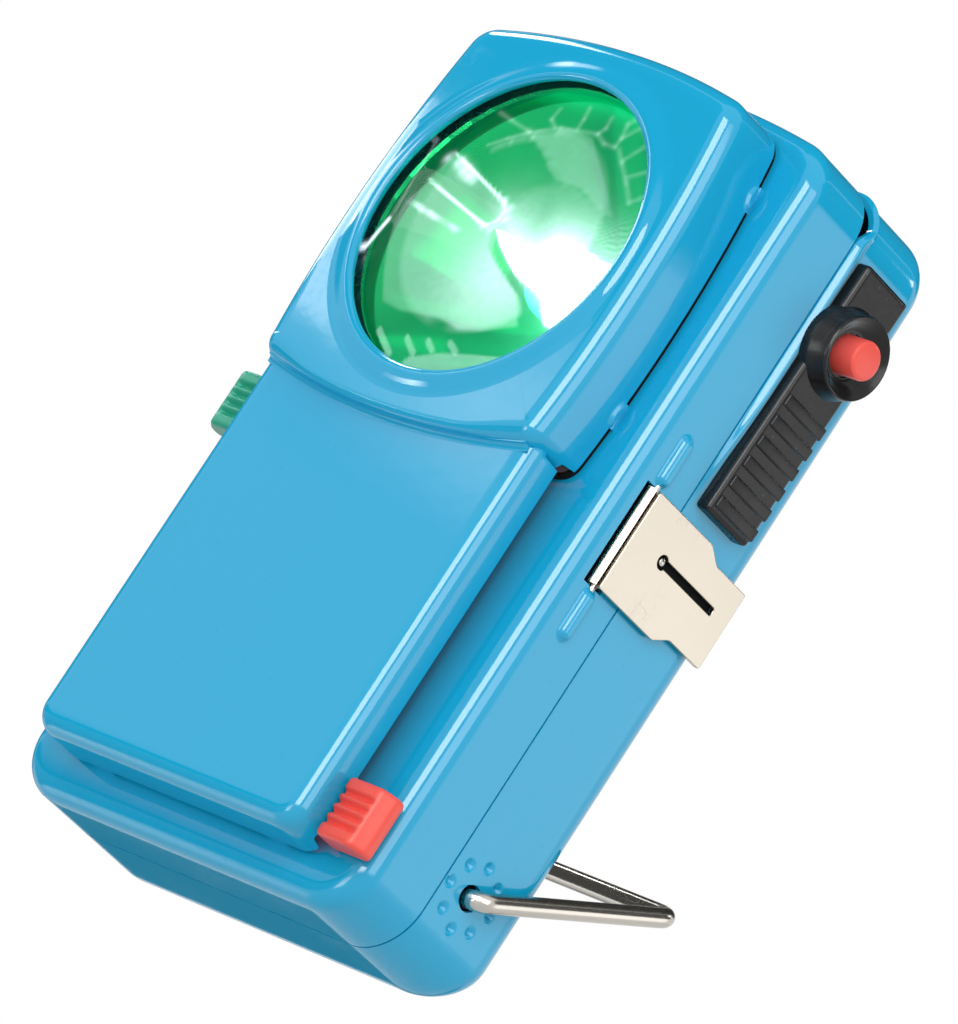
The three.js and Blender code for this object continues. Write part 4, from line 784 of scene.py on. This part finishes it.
# The collar round the lens hole, from its foot to its lip: radius, and lift from the head's face
COLLAR = (
    (27.2, 0.0), (26.8, -0.03), (26.3, -0.12), (25.8, -0.27), (25.3, -0.44), (24.8, -0.59), (24.4, -0.68),
    (24.05, -0.71), (23.8, -0.67), (23.5, -0.52), (23.28, -0.33), (HOLE, -0.1), (HOLE, 0.15),
)


def cover_head():
    """Head: bulging walls, a fillet that is tight along the lower edge, the flat, and the collar's rings up to the
    lens hole. Its rim stands on the panel at the bottom, clears the knob's slot, and else comes near the tray."""
    x, z, nx, nz = head_line.T
    fillet = 3.0 - 0.7 * np.maximum(0, -nz) - 1.2 * (nz < -0.9) * (1 - ease(14, 25, np.abs(x)))
    rim = np.where(z < SLOT_HIGH, SLOT_DEPTH, -0.8)
    rim = np.where((np.abs(x) < PANEL_HALF - 0.9) & (z < 80), PANEL_DEPTH + 0.5, rim)
    shares = np.concatenate([np.linspace(0, 0.3, 14), np.linspace(0.3, 1, 12)[1:]])

    def skin(thick):
        """One face of the head's sheet."""
        inset, depth = pressed(rim, HEAD_DEPTH, fillet, shares, thick)
        if not thick:
            for middle in (77.0, 112.0):
                far = np.hypot((z - middle) / 2.1, (np.minimum(depth, 0.0) + 0.8) / 1.2)
                inset = inset - 0.38 * (1 - ease(0.6, 1.0, far)) * (np.abs(nx) > 0.8)
        body = drawn(head_line, inset, depth)
        away = body[-1][:, [0, 2]] - centre
        length = np.hypot(*away.T)[:, None]
        widest = np.minimum(27.4, length - 0.12)
        rings = [(length + (widest - length) * share, body[-1][:, 1]) for share in (0.05, 0.35, 0.7, 1.0)]
        for radius, lift in COLLAR:
            squeezed = 25 + (radius - 25) * (widest - 0.05 - 25) / 2.2 if radius > 25 else radius
            rings.append((squeezed + (thick * 0.6 if radius < 24.3 else 0), HEAD_DEPTH + thick + lift))
        spots = [(centre + away / length * radius, level) for radius, level in rings]
        return np.concatenate([body, [joined(spot[:, 0], level + 0 * x, spot[:, 1]) for spot, level in spots]])

    return shell(skin(0.0), skin(SHEET))


def cover_panel():
    """Panel: rounded bottom corners and straight sides; its top edge follows the head's lower wall from inside, and
    its corners there are arcs. The rim clears the knob's slot along both sides."""
    top_corner, fillet = 2.6, 2.5
    run = PANEL_HALF - PANEL_CORNER
    edge = head_line[(head_line[:, 3] < -0.95) & (head_line[:, 0] < PANEL_HALF - top_corner) & (head_line[:, 0] >= 0)]
    edge = edge[np.argsort(-edge[:, 0])]
    roof = np.column_stack([edge[:, :2] - 2.6 * edge[:, 2:], -edge[:, 2:]])
    lean = math.atan2(roof[0, 3], roof[0, 2])
    corner_z = roof[0, 1] - top_corner * roof[0, 3]
    bottom = PANEL_LOW + PANEL_CORNER
    sides = stops(bottom, corner_z, 2.0, (bottom, 12, 0.3))
    line = whole(sill(run, 24, PANEL_LOW), arc(run, bottom, PANEL_CORNER, -math.pi / 2, 0, 0.3),
                 upright(PANEL_HALF, sides[1:-1]), arc(PANEL_HALF - top_corner, corner_z, top_corner, 0, lean, 0.3),
                 roof[1:])
    x, z, nx, nz = line.T
    slotted = ease(SLOT_LOW - 0.25, SLOT_LOW + 0.25, z) * (np.abs(nx) > 0.6)
    rim = -0.85 + (SLOT_DEPTH + 0.85) * slotted
    rim = np.where((nz > 0.2) & (z > 40), PANEL_DEPTH + 2.6, rim)

    def skin(thick):
        """One face of the panel's sheet."""
        body = drawn(line, *pressed(rim, PANEL_DEPTH, np.full(len(x), fillet), np.linspace(0, 1, 12), thick))
        return np.concatenate([body, inwards(body[-1], (0.0, 38.0), 0.0, (0.04, 0.3, 0.6, 0.9, 1.0))])

    return shell(skin(0.0), skin(SHEET))


def step_foot():
    """Cove along the foot of the head's lower wall: a quarter circle from the wall out to the panel's face."""
    radius, overlap = 0.9, 0.3
    run = head_line[(head_line[:, 3] < -0.6) & (np.abs(head_line[:, 0]) < PANEL_HALF - 1.0)]
    run = run[np.argsort(run[:, 0])]
    angle = np.linspace(0, math.pi / 2, 8)
    rows = [(-overlap, PANEL_DEPTH + overlap), (radius + 0.02, PANEL_DEPTH + 0.02)]
    rows += [(radius * (1 - math.sin(a)), PANEL_DEPTH - radius * (1 - math.cos(a))) for a in angle]
    rows += [(-overlap, PANEL_DEPTH - radius)]
    grid = np.stack([drawn(run, -out, depth * np.ones(len(run))) for out, depth in rows])
    count, columns = grid.shape[:2]
    c, last = np.arange(columns - 1), (count - 1) * columns
    close = joined(last + c, last + c + 1, c + 1, c)
    edge = np.arange(count) * columns
    around = cells(count, columns, False).reshape(-1, 4)
    return grid.reshape(-1, 3), [around, close, [edge[::-1]], [edge + columns - 1]]


def rim_shadow():
    """Dark strip of painted shade just inside the foot of the cover's walls, which gives the gap at the tray its black
    line.
    """
    even = np.ones(len(head_line))
    section = ((0.3, -0.9), (0.3, -0.03), (0.9, -0.03), (0.9, -0.9), (0.3, -0.9))
    return wrapped([drawn(head_line, inset * even, depth * even) for inset, depth in section])


def tab_feet():
    """Tabs that pass through the tray's face and bend over behind it, at the head's sides and the panel's bottom."""
    behind, bent, foot = 1.1, 1.9, 3

    def strip(wall, side, start):
        """Section of a tab that starts beside a wall and bends inwards."""
        corners = [(wall, start), (wall, bent), (wall - side * foot, bent), (wall - side * foot, behind),
                   (wall - side * SHEET, behind), (wall - side * SHEET, start)]
        return [rounded(corners[::side], 0.3)]

    parts = []
    for side in (-1, 1):
        for z in (LAMP_Z - 16.5, LAMP_Z + 18.5):
            wall = HEAD_HALF - HEAD_SIDE + math.sqrt(HEAD_SIDE ** 2 - (z - HEAD_WAIST) ** 2)
            parts.append(slab(strip(side * wall, side, -0.6), UPWARDS, z - TAB_HALF, z + TAB_HALF, 0.08))
        x = side * 18
        parts.append(slab(strip(PANEL_LOW, -1, -1.2), SIDEWAYS, x - TAB_HALF, x + TAB_HALF, 0.08))
    return parts


def cover():
    """The cover's sheet with its tabs, and the dark strip of painted shade in the gap at its foot."""
    add_piece("rim_shadow", "front_case", *rim_shadow(), shade_paint)
    add_piece("cover", "front_case", *several(cover_head(), cover_panel(), step_foot(), *tab_feet()), blue,
              ["front_cover"], "blue_enamel")


# Lens, reflector, bulb and panes

lens_back = HEAD_DEPTH + SHEET + PLAY + LENS_THICK
pane_front = lens_back + PLAY + RETAINER + PLAY
rim_depth = pane_front + 2 * (PANE + PLAY)
span = (HOLE ** 2 - BOWL_NECK ** 2) / BOWL_LONG
vertex = rim_depth + HOLE ** 2 / span
focus = vertex - span / 4
lamp_axis = (0, 0, LAMP_Z)

# Outlines of the bright fields on the lens, in millimetres round its centre
CORE = [
    (1.2, -1.2), (3.0, -1.2), (6.5, -2.0), (9.1, -1.9), (11.4, 0.5), (13.1, 0.8), (15.3, 0.5), (20.2, -0.2), (30, 0),
    (30, -14), (19.4, -11.7), (17.6, -11.3), (16.1, -10.0), (15.0, -8.4), (13.4, -7.3), (9.0, -6.4), (6.5, -5.1),
    (3.5, -3.2),
]
FAN = [
    (0.6, -1.4), (-7.7, 0.7), (-16.6, 3.0), (-18.6, -0.7), (-18.4, -3.9), (-16.7, -7.7), (-14.6, -11.3),
    (-11.6, -15.4), (-7.4, -16.0), (0.5, -15.4), (2.8, -15.7), (4.6, -16.1), (8.3, -15.2), (13.6, -12.8),
    (12.4, -10.8), (10.8, -8.9), (7.5, -7.3), (4.4, -5.7), (1.8, -4.0),
]
SIDE = [
    (-5.1, 13.6), (-3.5, 14.7), (-0.6, 15.2), (1.3, 16.2), (5.9, 16.0), (8.0, 14.3), (14.0, 9.4), (17.4, 6.1),
    (16.0, 5.8), (12.9, 7.2), (9.8, 8.4), (5.4, 8.2), (3.1, 9.3), (0.5, 11.2), (-1.7, 12.3),
]
ARCH = [
    (0.6, 0.6), (0.8, 4.0), (2.7, 6.5), (5.5, 8.1), (9.0, 8.3), (12.9, 7.2), (16.2, 5.9), (18.9, 2.7), (11.3, -0.8),
    (4.6, -2.1),
]
LOW = [
    (-2.3, -22.6), (-1.6, -21.7), (1.2, -20.7), (3.6, -19.8), (7.0, -19.0), (13.5, -17.5), (17.9, -14.4), (20, -20),
    (4, -26), (-3, -24),
]
# Runs of the fine lines that the moulded glass shows near its upper right rim, painted as lines of lamp light
NETWORK = (
    ((-10.4, 10.3), (-7.8, 12.1), (-4.8, 13.9), (-0.3, 15.8), (6.3, 16.7), (8.4, 15.6), (10.4, 15.7), (10.3, 17.3),
     (11.9, 19.9)),
    ((-1.1, 15.6), (-2.9, 16.7), (-2.9, 18.6)), ((2.6, 16.3), (2.3, 18.2), (1.7, 20.1)),
    ((6.3, 16.7), (6.8, 17.9), (6.4, 19.7)), ((11.2, 15.6), (13.2, 13.8), (16.0, 11.3), (18.4, 8.8), (21.0, 11.5)),
    ((13.0, 14.1), (14.6, 17.4)), ((15.4, 12.0), (18.2, 14.4)), ((10.3, 17.3), (9.5, 19.6), (10.4, 21.3)),
    ((11.9, 19.9), (14.8, 18.1)), ((-4.8, 13.9), (-9.6, 14.9), (-13.0, 15.7)),
)
# Short pale bars near the lower rim
BARS = (
    ((-9.4, -19.4), (-5.5, -21.9)), ((-3.5, -19.3), (-1.1, -21.0)), ((0.5, -18.8), (2.0, -19.8)),
    ((4.4, -18.1), (6.1, -19.0)),
)


def lamp_light(places):
    """Light on the lens, from the lamp behind it and the bright room before it, as a share of the strongest. Every
    field has a level inside its outline and eases out over its edge, by the distance from it. The lamp's core also
    falls off outside with that distance. Lines and spots fall off as exp(-(distance / width) ** 2)."""
    spots = places[:, [0, 2]] - centre

    def field(corners, soft):
        """One inside an outline and nought outside, with an edge of the given softness."""
        return ease(-soft, soft, from_edge(spots, corners))

    def streak(a, b, width):
        """A soft line between two points."""
        return np.exp(-(from_run(spots, a, b) / width) ** 2)

    core = from_edge(spots, CORE)
    above = ease(-1.5, 2.5, (spots - [1.4, -1.2]) @ [0.512, 0.859])
    light = 1.9 * ease(-0.2, 0.2, core) + np.exp(np.minimum(core, 0) / 2.7) * (0.62 * above + 0.10)
    light += field(FAN, 0.3) * (0.13 + 0.27 * blob(spots, (6.0, -7.5), 8.0))
    light += 0.10 * field(SIDE, 0.3) + 0.05 * ease(-0.3, 0.6, from_edge(spots, ARCH)) + 0.26 * field(LOW, 0.15)
    for a, b in BARS:
        light += 0.24 * (1 - ease(0.35, 0.6, from_run(spots, a, b)))
    along = (spots - [-14.7, 5.1]) @ [0.956, -0.295]
    tube = from_run(spots, (-20.0, 6.7), (-1.4, 1.0)) - 2.5 + 0.03 * np.clip(along, 0, 14.2)
    outline = np.exp(-(tube / (0.22 + 0.16 * ease(11, 15, along))) ** 2)
    light += ease(-2.6, -1.0, along) * (0.65 * outline + 0.10 * (1 - ease(-0.2, 0.1, tube)))
    for place, size in (((-16.2, 6.9), 0.8), ((-13.6, 6.7), 0.9), ((-11.4, 5.7), 1.0), ((-9.6, 5.0), 0.8)):
        light += 0.6 * blob(spots, place, size)
    for run in NETWORK:
        for a, b in zip(run, run[1:]):
            light += 0.13 * streak(a, b, 0.33)
    ripples = np.sin(4.2 * (spots @ [0.25, 0.97]) + np.sin(spots[:, 0] * 1.7)) ** 2
    light += 0.22 * blob(spots, (20.3, 2.6), 3.4) * ripples
    flecks = blob(spots, (-15.7, -1.0), 1.0) + blob(spots, (-12.2, -1.9), 0.9) + 0.6 * blob(spots, (-6.7, -2.7), 0.8)
    light += streak((-18.4, -0.6), (-5.9, -2.8), 0.4) * (0.12 + 0.7 * flecks)
    light += 1.5 * streak((-21.4, -9.1), (-19.9, -4.0), 0.36) + 0.35 * streak((-19.5, -2.8), (-21.1, 10.1), 0.13)
    return np.clip(light, 0, 1.9) / 2 * (places[:, 1] < lens_back - 1.15)


def lens():
    """Lens: a shallow spherical dome over a flat flange, both faces the same curve a thickness apart."""
    dome = HOLE - 0.35
    curve = (dome ** 2 + LENS_SAG ** 2) / (2 * LENS_SAG)
    near, wide = np.linspace(0, dome, 84), np.linspace(dome, 0, 20)
    front = joined(lens_back - LENS_THICK + curve - LENS_SAG - np.sqrt(curve ** 2 - near ** 2), near)
    back = joined(lens_back + curve - LENS_SAG - np.sqrt(curve ** 2 - wide ** 2), wide)
    edge = [(lens_back - LENS_THICK, LENS_RIM - 0.1), (lens_back - LENS_THICK + 0.1, LENS_RIM),
            (lens_back - 0.1, LENS_RIM), (lens_back, LENS_RIM - 0.1)]
    piece = add_piece("lens_dome", "front_case", *turned([*front, *edge, *back], "y", lamp_axis, 300), clear_glass,
                      ["lens"], "clear_glass")
    mark(piece, "glow", lamp_light)


def bowl():
    """Reflector: a parabola of revolution from the rim to the bulb's neck, a parallel outer face and a skirt."""
    radius = np.linspace(HOLE, BOWL_NECK, 48)
    inside = joined(vertex - radius ** 2 / span, radius)
    slope = 2 * radius / span
    length = np.hypot(1, slope)
    outside = joined(np.maximum(inside[:, 0] + BOWL_WALL / length, rim_depth + BOWL_WALL),
                     radius + BOWL_WALL * slope / length)[::-1]
    skirt = [(rim_depth + 0.7, 24.7), (-PLAY, 24.8), (-PLAY, LENS_RIM), (rim_depth + 0.4, LENS_RIM),
             (rim_depth + 0.1, 25.2), (rim_depth, 24.9), (rim_depth, 23.4)]
    piece = add_piece("bowl", "front_case", *turned([*inside, *outside, *skirt], "y", lamp_axis, 128, True), mirror,
                      ["reflector"], "mirror")

    def glow(places):
        """Light on the inner face: a low share everywhere, and more towards the bulb."""
        away = np.hypot(*(places[:, [0, 2]] - centre).T)
        lit_face = (away < HOLE + 0.2) & (places[:, 1] < vertex - away ** 2 / span + 0.2)
        return lit_face * (0.055 + 0.30 * np.exp(-(away / 8) ** 2))

    mark(piece, "glow", glow)


def globe():
    """Bulb: a glass globe on a short neck, two skins a wall apart, joined at the neck's end."""
    radius, neck, wall = 5.0, 3.7, 0.4
    neck_end = focus + 9.2
    middle = neck_end - 8

    def skin(inset):
        """Profile of one face, from the front pole to the neck's end."""
        wide, narrow = radius - inset, neck - inset
        angle = np.linspace(math.pi, math.asin(narrow / wide), 28)
        return [*joined(middle + wide * np.cos(angle), wide * np.sin(angle)), (neck_end, narrow)]

    profile = skin(0) + skin(wall)[::-1]
    piece = add_piece("globe", "front_case", *turned(profile, "y", lamp_axis, 48), lamp_glass, ["bulb_glass"],
                      "clear_glass")
    # The globe's glow is painted light of the lit bulb.
    mark(piece, "glow", lambda places: np.full(len(places), 0.9))


def filament():
    """Glowing filament: a wire coiled round a shallow arc between its two holders at the bowl's focus."""
    width, sag, coil, coils = 3.6, 1.2, 0.28, 13
    turn = np.linspace(0, 1, 260)
    angle = turn * 2 * math.pi * coils
    path = joined((turn - 0.5) * width, focus - sag * (1 - (2 * turn - 1) ** 2) + coil * np.cos(angle),
                  LAMP_Z + coil * np.sin(angle))
    glow, tree, shader = painted("glowing_filament")
    tone = mixed(tree, noise(tree, own_place(tree), 400.0, 2.0), (1, 0.94, 0.80), (1, 0.98, 0.92))
    tree.links.new(tone, shader.inputs["Emission Color"])
    tree.links.new(tone, shader.inputs["Base Color"])
    fixed(shader, Emission_Strength=3.0)
    glow.cycles.emission_sampling = "NONE"
    add_piece("filament", "front_case", *swept(path, 0.09, 8), glow)


def pane(name, body, side, layer, knob_z, material, node_name):
    """Colour pane: a thin rounded plate, and beside it the carrier that steps back to the arm through the slot."""
    front, half, arm_front, arm_back, arm_end = pane_front + layer, 24.8, -1.98, -1.2, 31.25
    low, top, arm_wide = knob_z - 3.5, LAMP_Z - HOLE - PLAY + knob_z - RED_Z, 7
    plate = rounded(box(-half, half, low - 0.8, top), 6, 8)
    start, outer, near, far = half - 4, PANEL_HALF - SHEET - 0.6, front + 0.02, front + PANE - 0.02
    bent = rounded([(start, near), (outer, near), (outer, arm_front), (arm_end, arm_front), (arm_end, arm_back),
                    (outer - PANE, arm_back), (outer - PANE, far), (start, far)], 0.2) * [side, 1]
    parts = slab([plate], FACING, front, front + PANE, 0.08), slab([bent[::side]], UPWARDS, low, low + arm_wide, 0.08)
    piece = add_piece(name, body, *several(*parts), material, [node_name], node_name)
    # The pane's glow is painted light: the bulb's light scattered in the pane, dimmer at its edges.
    mark(piece, "glow", lambda places: 1.0 - 0.7 * ease(half - 1, half, np.abs(places[:, 0])))


# Knobs

def knob(name, body, side, centre_z, material, node_name, slot):
    """Knob: its section is carried upwards, and the front sinks in four rounded grooves between five ridges that run
    out towards the bevelled outer edge. Both ends draw in a little and close on a middle line."""
    inner, outer, height, half, end = PANEL_HALF + PLAY, PANEL_HALF + 8.5, 5.0, 4.5, 0.8
    pitch, groove_deep, groove_half = 1.5, 0.66, 0.70
    section = rounded([(inner, -0.4), (inner, -height), (outer - 1.6, -height), (outer, -height + 2.1), (outer, -1.4),
                       (outer - 1.0, -0.4)], 1.0, 8)
    after = np.roll(section, -1, 0)
    dense = []
    for a, b, length in zip(section, after, np.linalg.norm(after - section, axis=1)):
        dense.append(a + (b - a) * np.linspace(0, 1, max(2, int(length / 0.3)))[:-1, None])
    section = np.concatenate(dense)
    levels = np.linspace(-half, half, 73)[:, None]
    pull = np.clip((np.abs(levels) - (half - end)) / end, 0, 1)
    inset = end * (1 - np.sqrt(1 - pull ** 2)) * 0.7
    normal = loop_normals(section)
    groove = sum(groove_deep * (1 - ease(0.0, groove_half, np.abs(levels - shift * pitch)))
                 for shift in (-1.5, -0.5, 0.5, 1.5))
    front = 1 - ease(-height + 0.2, -height + 1.6, section[:, 1])
    reach = 1 - ease(inner + 5.6, inner + 6.6, section[:, 0])
    grid = joined(side * (section[:, 0] - inset * normal[:, 0]),
                  section[:, 1] - inset * normal[:, 1] + groove * front * reach,
                  centre_z + levels + 0 * section[:, 0])
    middle = grid.mean(axis=1, keepdims=True)
    point_low, ring_low, ring_high, point_high = (
        middle[row] + (grid[row] - middle[row]) * share for row, share in ((0, 0), (0, 0.8), (-1, 0.8), (-1, 0)))
    rings = [point_low, ring_low, *grid, ring_high, point_high]
    add_piece(name, body, *wrapped(rings), material, [node_name], slot, sharp=45)


# Clasp, stud and bail

def clasp():
    """Clasp: a thin leaf with cut shoulders, a long slot with a round head, and at its front edge a barrel, which is
    a ring round the pin, rolled inwards and forwards until it nearly meets the leaf."""
    outer, tip, shoulder, cut = CLASP_X + BARREL, SEAM + 17.4, SEAM + 7.1, 1.7
    slot_end, slot_head, bore = STUD_DEPTH + 12.7, 1.02, 0.8
    leaf = rounded([(CLASP_DEPTH - 0.25, CLASP_LOW), (shoulder, CLASP_LOW), (shoulder + 2.8, CLASP_LOW + cut),
                    (tip, CLASP_LOW + cut), (tip, CLASP_HIGH - cut), (shoulder + 2.8, CLASP_HIGH - cut),
                    (shoulder, CLASP_HIGH), (CLASP_DEPTH - 0.25, CLASP_HIGH)], 0.4, 4)
    angle = np.linspace(math.radians(36), math.radians(324), 26)
    head = joined(STUD_DEPTH + slot_head * np.cos(angle), STUD_Z + slot_head * np.sin(angle))
    end = [(slot_end - 0.2, STUD_Z - 0.6), (slot_end, STUD_Z - 0.4), (slot_end, STUD_Z + 0.4),
           (slot_end - 0.2, STUD_Z + 0.6)]
    turn = np.linspace(math.radians(95), math.radians(-235), 60)
    rings = [joined(CLASP_X + radius * np.sin(turn), CLASP_DEPTH + radius * np.cos(turn)) for radius in (BARREL, bore)]
    add_piece("clasp", "clasp", *several(
        slab([leaf, np.concatenate([head, end])[::-1]], RIGHT_WALL, outer - SHEET, outer, 0.12),
        slab([np.concatenate([rings[0], rings[1][::-1]])], UPWARDS, CLASP_LOW, CLASP_HIGH, 0.1),
    ), nickel, ["clasp_plate"], "nickel")


def stud():
    """Catch stud: a small rivet with a domed outer end, turned about x."""
    start, out = CASE_HALF - SHEET - 0.7, CASE_HALF + 1.25
    profile = [(start, 0), (start, 0.8), (start + 0.1, 0.9), (start + 0.4, 0.9), (start + 0.42, 0.6),
               (out - 0.35, 0.6), (out - 0.15, 0.52), (out - 0.03, 0.3), (out, 0)]
    add_piece("stud", "rear_lid", *turned(profile, "x", (0, STUD_DEPTH, STUD_Z), 32), steel, ["catch_stud"], "steel")


def slot_shade():
    """Painted shade on the wall under the clasp's slot: a thin dark plate the slot's shape, with rounded ends."""
    near, far = STUD_DEPTH - 1.4, STUD_DEPTH + 13.1
    line = rounded([(near, STUD_Z - 1.2), (far, STUD_Z - 0.9), (far, STUD_Z + 0.9), (near, STUD_Z + 1.2)], 0.6, 5)
    add_piece("slot_shade", "rear_lid", *slab([line], RIGHT_WALL, CASE_HALF - 0.05, CASE_HALF + 0.06, 0.02),
              shade_paint)


def bail():
    """Bail: one wire from inside the left wall, out, down its leg, across and back, with rounded bends."""
    lean, leg, x, inside, bend = math.radians(27.5), 35.8, CASE_HALF + 2.1, 33.0, 2.9
    near, far = (BAIL_DEPTH, BAIL_Z), (BAIL_DEPTH + leg * math.cos(lean), BAIL_Z + leg * math.sin(lean))
    knees = [(-inside, *near), (-x, *near), (-x, *far), (x, *far), (x, *near), (inside, *near)]
    bent = rounded(knees, bend, 12, closed=False)
    dense = [bent[0]]
    for a, b in zip(bent, bent[1:]):
        count = max(1, int(np.linalg.norm(b - a) / 2.0))
        dense += [a + (b - a) * (i + 1) / count for i in range(count)]
    add_piece("wire_bail", "bail_stand", *swept(dense, BAIL_WIRE, 32), steel, ["bail"], "steel")


# Morse switch

def slider():
    """Slider: a plate with softened edges, six flat ribs with rounded edges, and a boss that flares into the plate
    and is dished towards the key's bore, with a thin lip round the bore. All of it leans back towards the top."""
    seat = CASE_HALF + PLAY
    top, out = seat + SWITCH_THICK, seat + BOSS_HIGH
    low, high = BOSS_Z - 28.8, BOSS_Z + 11.6
    near, far = SWITCH_DEPTH - 4.8, SWITCH_DEPTH + 5.3
    rib_pitch, rib_half, rib_high, lean = 3.35, 0.95, 0.38, 1.1
    parts = [slab([rounded(box(near, far, low, high), 0.7, 4)], RIGHT_WALL, seat, top, 0.75, 5, 0.1)]
    for rib in range(6):
        z = low + 1.9 + rib * rib_pitch
        section = rounded([(z + rib_half, top - 0.4), (z + rib_half, top + rib_high), (z - rib_half, top + rib_high),
                           (z - rib_half, top - 0.4)], 0.3, 4)
        parts.append(slab([section], ACROSS_WALL, near + 0.7, far - 0.15, 0.2))
    profile = [(seat + 0.8, 3.2), (seat + 0.8, 6.7), (seat + 1.8, 6.7), (top, 6.6), (top + 0.5, 6.35),
               (out - 0.5, 6.0), (out - 0.15, 5.92), (out, 5.78), (out - 0.05, 5.62), (out - 0.8, 4.95),
               (out - 1.6, 4.2), (out - 2.1, 3.75), (out - 2.2, 3.45), (out - 2.2, 3.15), (out - 2.5, 3.1),
               (out - 2.6, 3.1), (seat + 1.2, 3.2)]
    parts.append(turned(profile, "x", (0, SWITCH_DEPTH, BOSS_Z), 96, True))
    stem = rounded(box(SWITCH_DEPTH - 1.5, SWITCH_DEPTH + 1.5, BOSS_Z - 21.6, BOSS_Z - 15.6), 0.3)
    parts.append(slab([stem], RIGHT_WALL, 32.3, seat + 0.5, 0.1))
    points, faces = several(*parts)
    points[:, 1] += lean * (points[:, 2] - low) / (high - low)
    return add_piece("slider", "switch", points, faces, black_plastic, ["switch_slider"], "black_plastic")


def key():
    """Key: a round cap with a softened edge, over its collar and stem, turned about x."""
    start, out = 34.35, CASE_HALF + PLAY + BOSS_HIGH
    collar, tip = out - 2.9, out + 1.8
    profile = [(start, 0), (start, 1.1), (start + 0.1, 1.2), (collar - 0.5, 1.2), (collar - 0.5, 3.5), (collar, 3.5),
               (collar, 2.8), (tip - 0.55, 2.78), (tip - 0.25, 2.68), (tip - 0.08, 2.45), (tip, 2.15), (tip, 0)]
    return add_piece("red_key", "morse_key", *turned(profile, "x", (0, SWITCH_DEPTH + 0.7, BOSS_Z), 64), red_plastic,
                     ["morse_button"], "red_plastic")


front_tray()
rear_tray()
cover()
lens()
bowl()
globe()
filament()
pane("green_pane", "green_slide", -1, 0.0, GREEN_Z, green_glass, "green_filter")
pane("red_pane", "red_slide", 1, PANE + PLAY, RED_Z, red_glass, "red_filter")
knob("red_knob_ridged", "red_slide", 1, RED_Z, red_plastic, "red_knob", "red_plastic")
knob("green_knob_ridged", "green_slide", -1, GREEN_Z, green_plastic, "green_knob", "green_plastic")
clasp()
stud()
slot_shade()
bail()
for unmirrored in (slider(), key()):
    unmirrored.visible_glossy = False

# CAD nodes that stay, with their finishes
kept = {
    "lens_retainer": nickel, "bulb_socket": brass, "bulb_cap": brass, "lid_hinge_pin": steel, "clasp_hinge_pin": steel,
    "switch_keeper": steel, "battery": wrap, "battery_tab_short": brass, "battery_tab_long": brass,
    "contact_board": fibre, "contact_spring": brass, "bulb_contact_strip": brass,
}
for name, material in kept.items():
    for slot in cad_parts[name].material_slots:
        slot.material = material
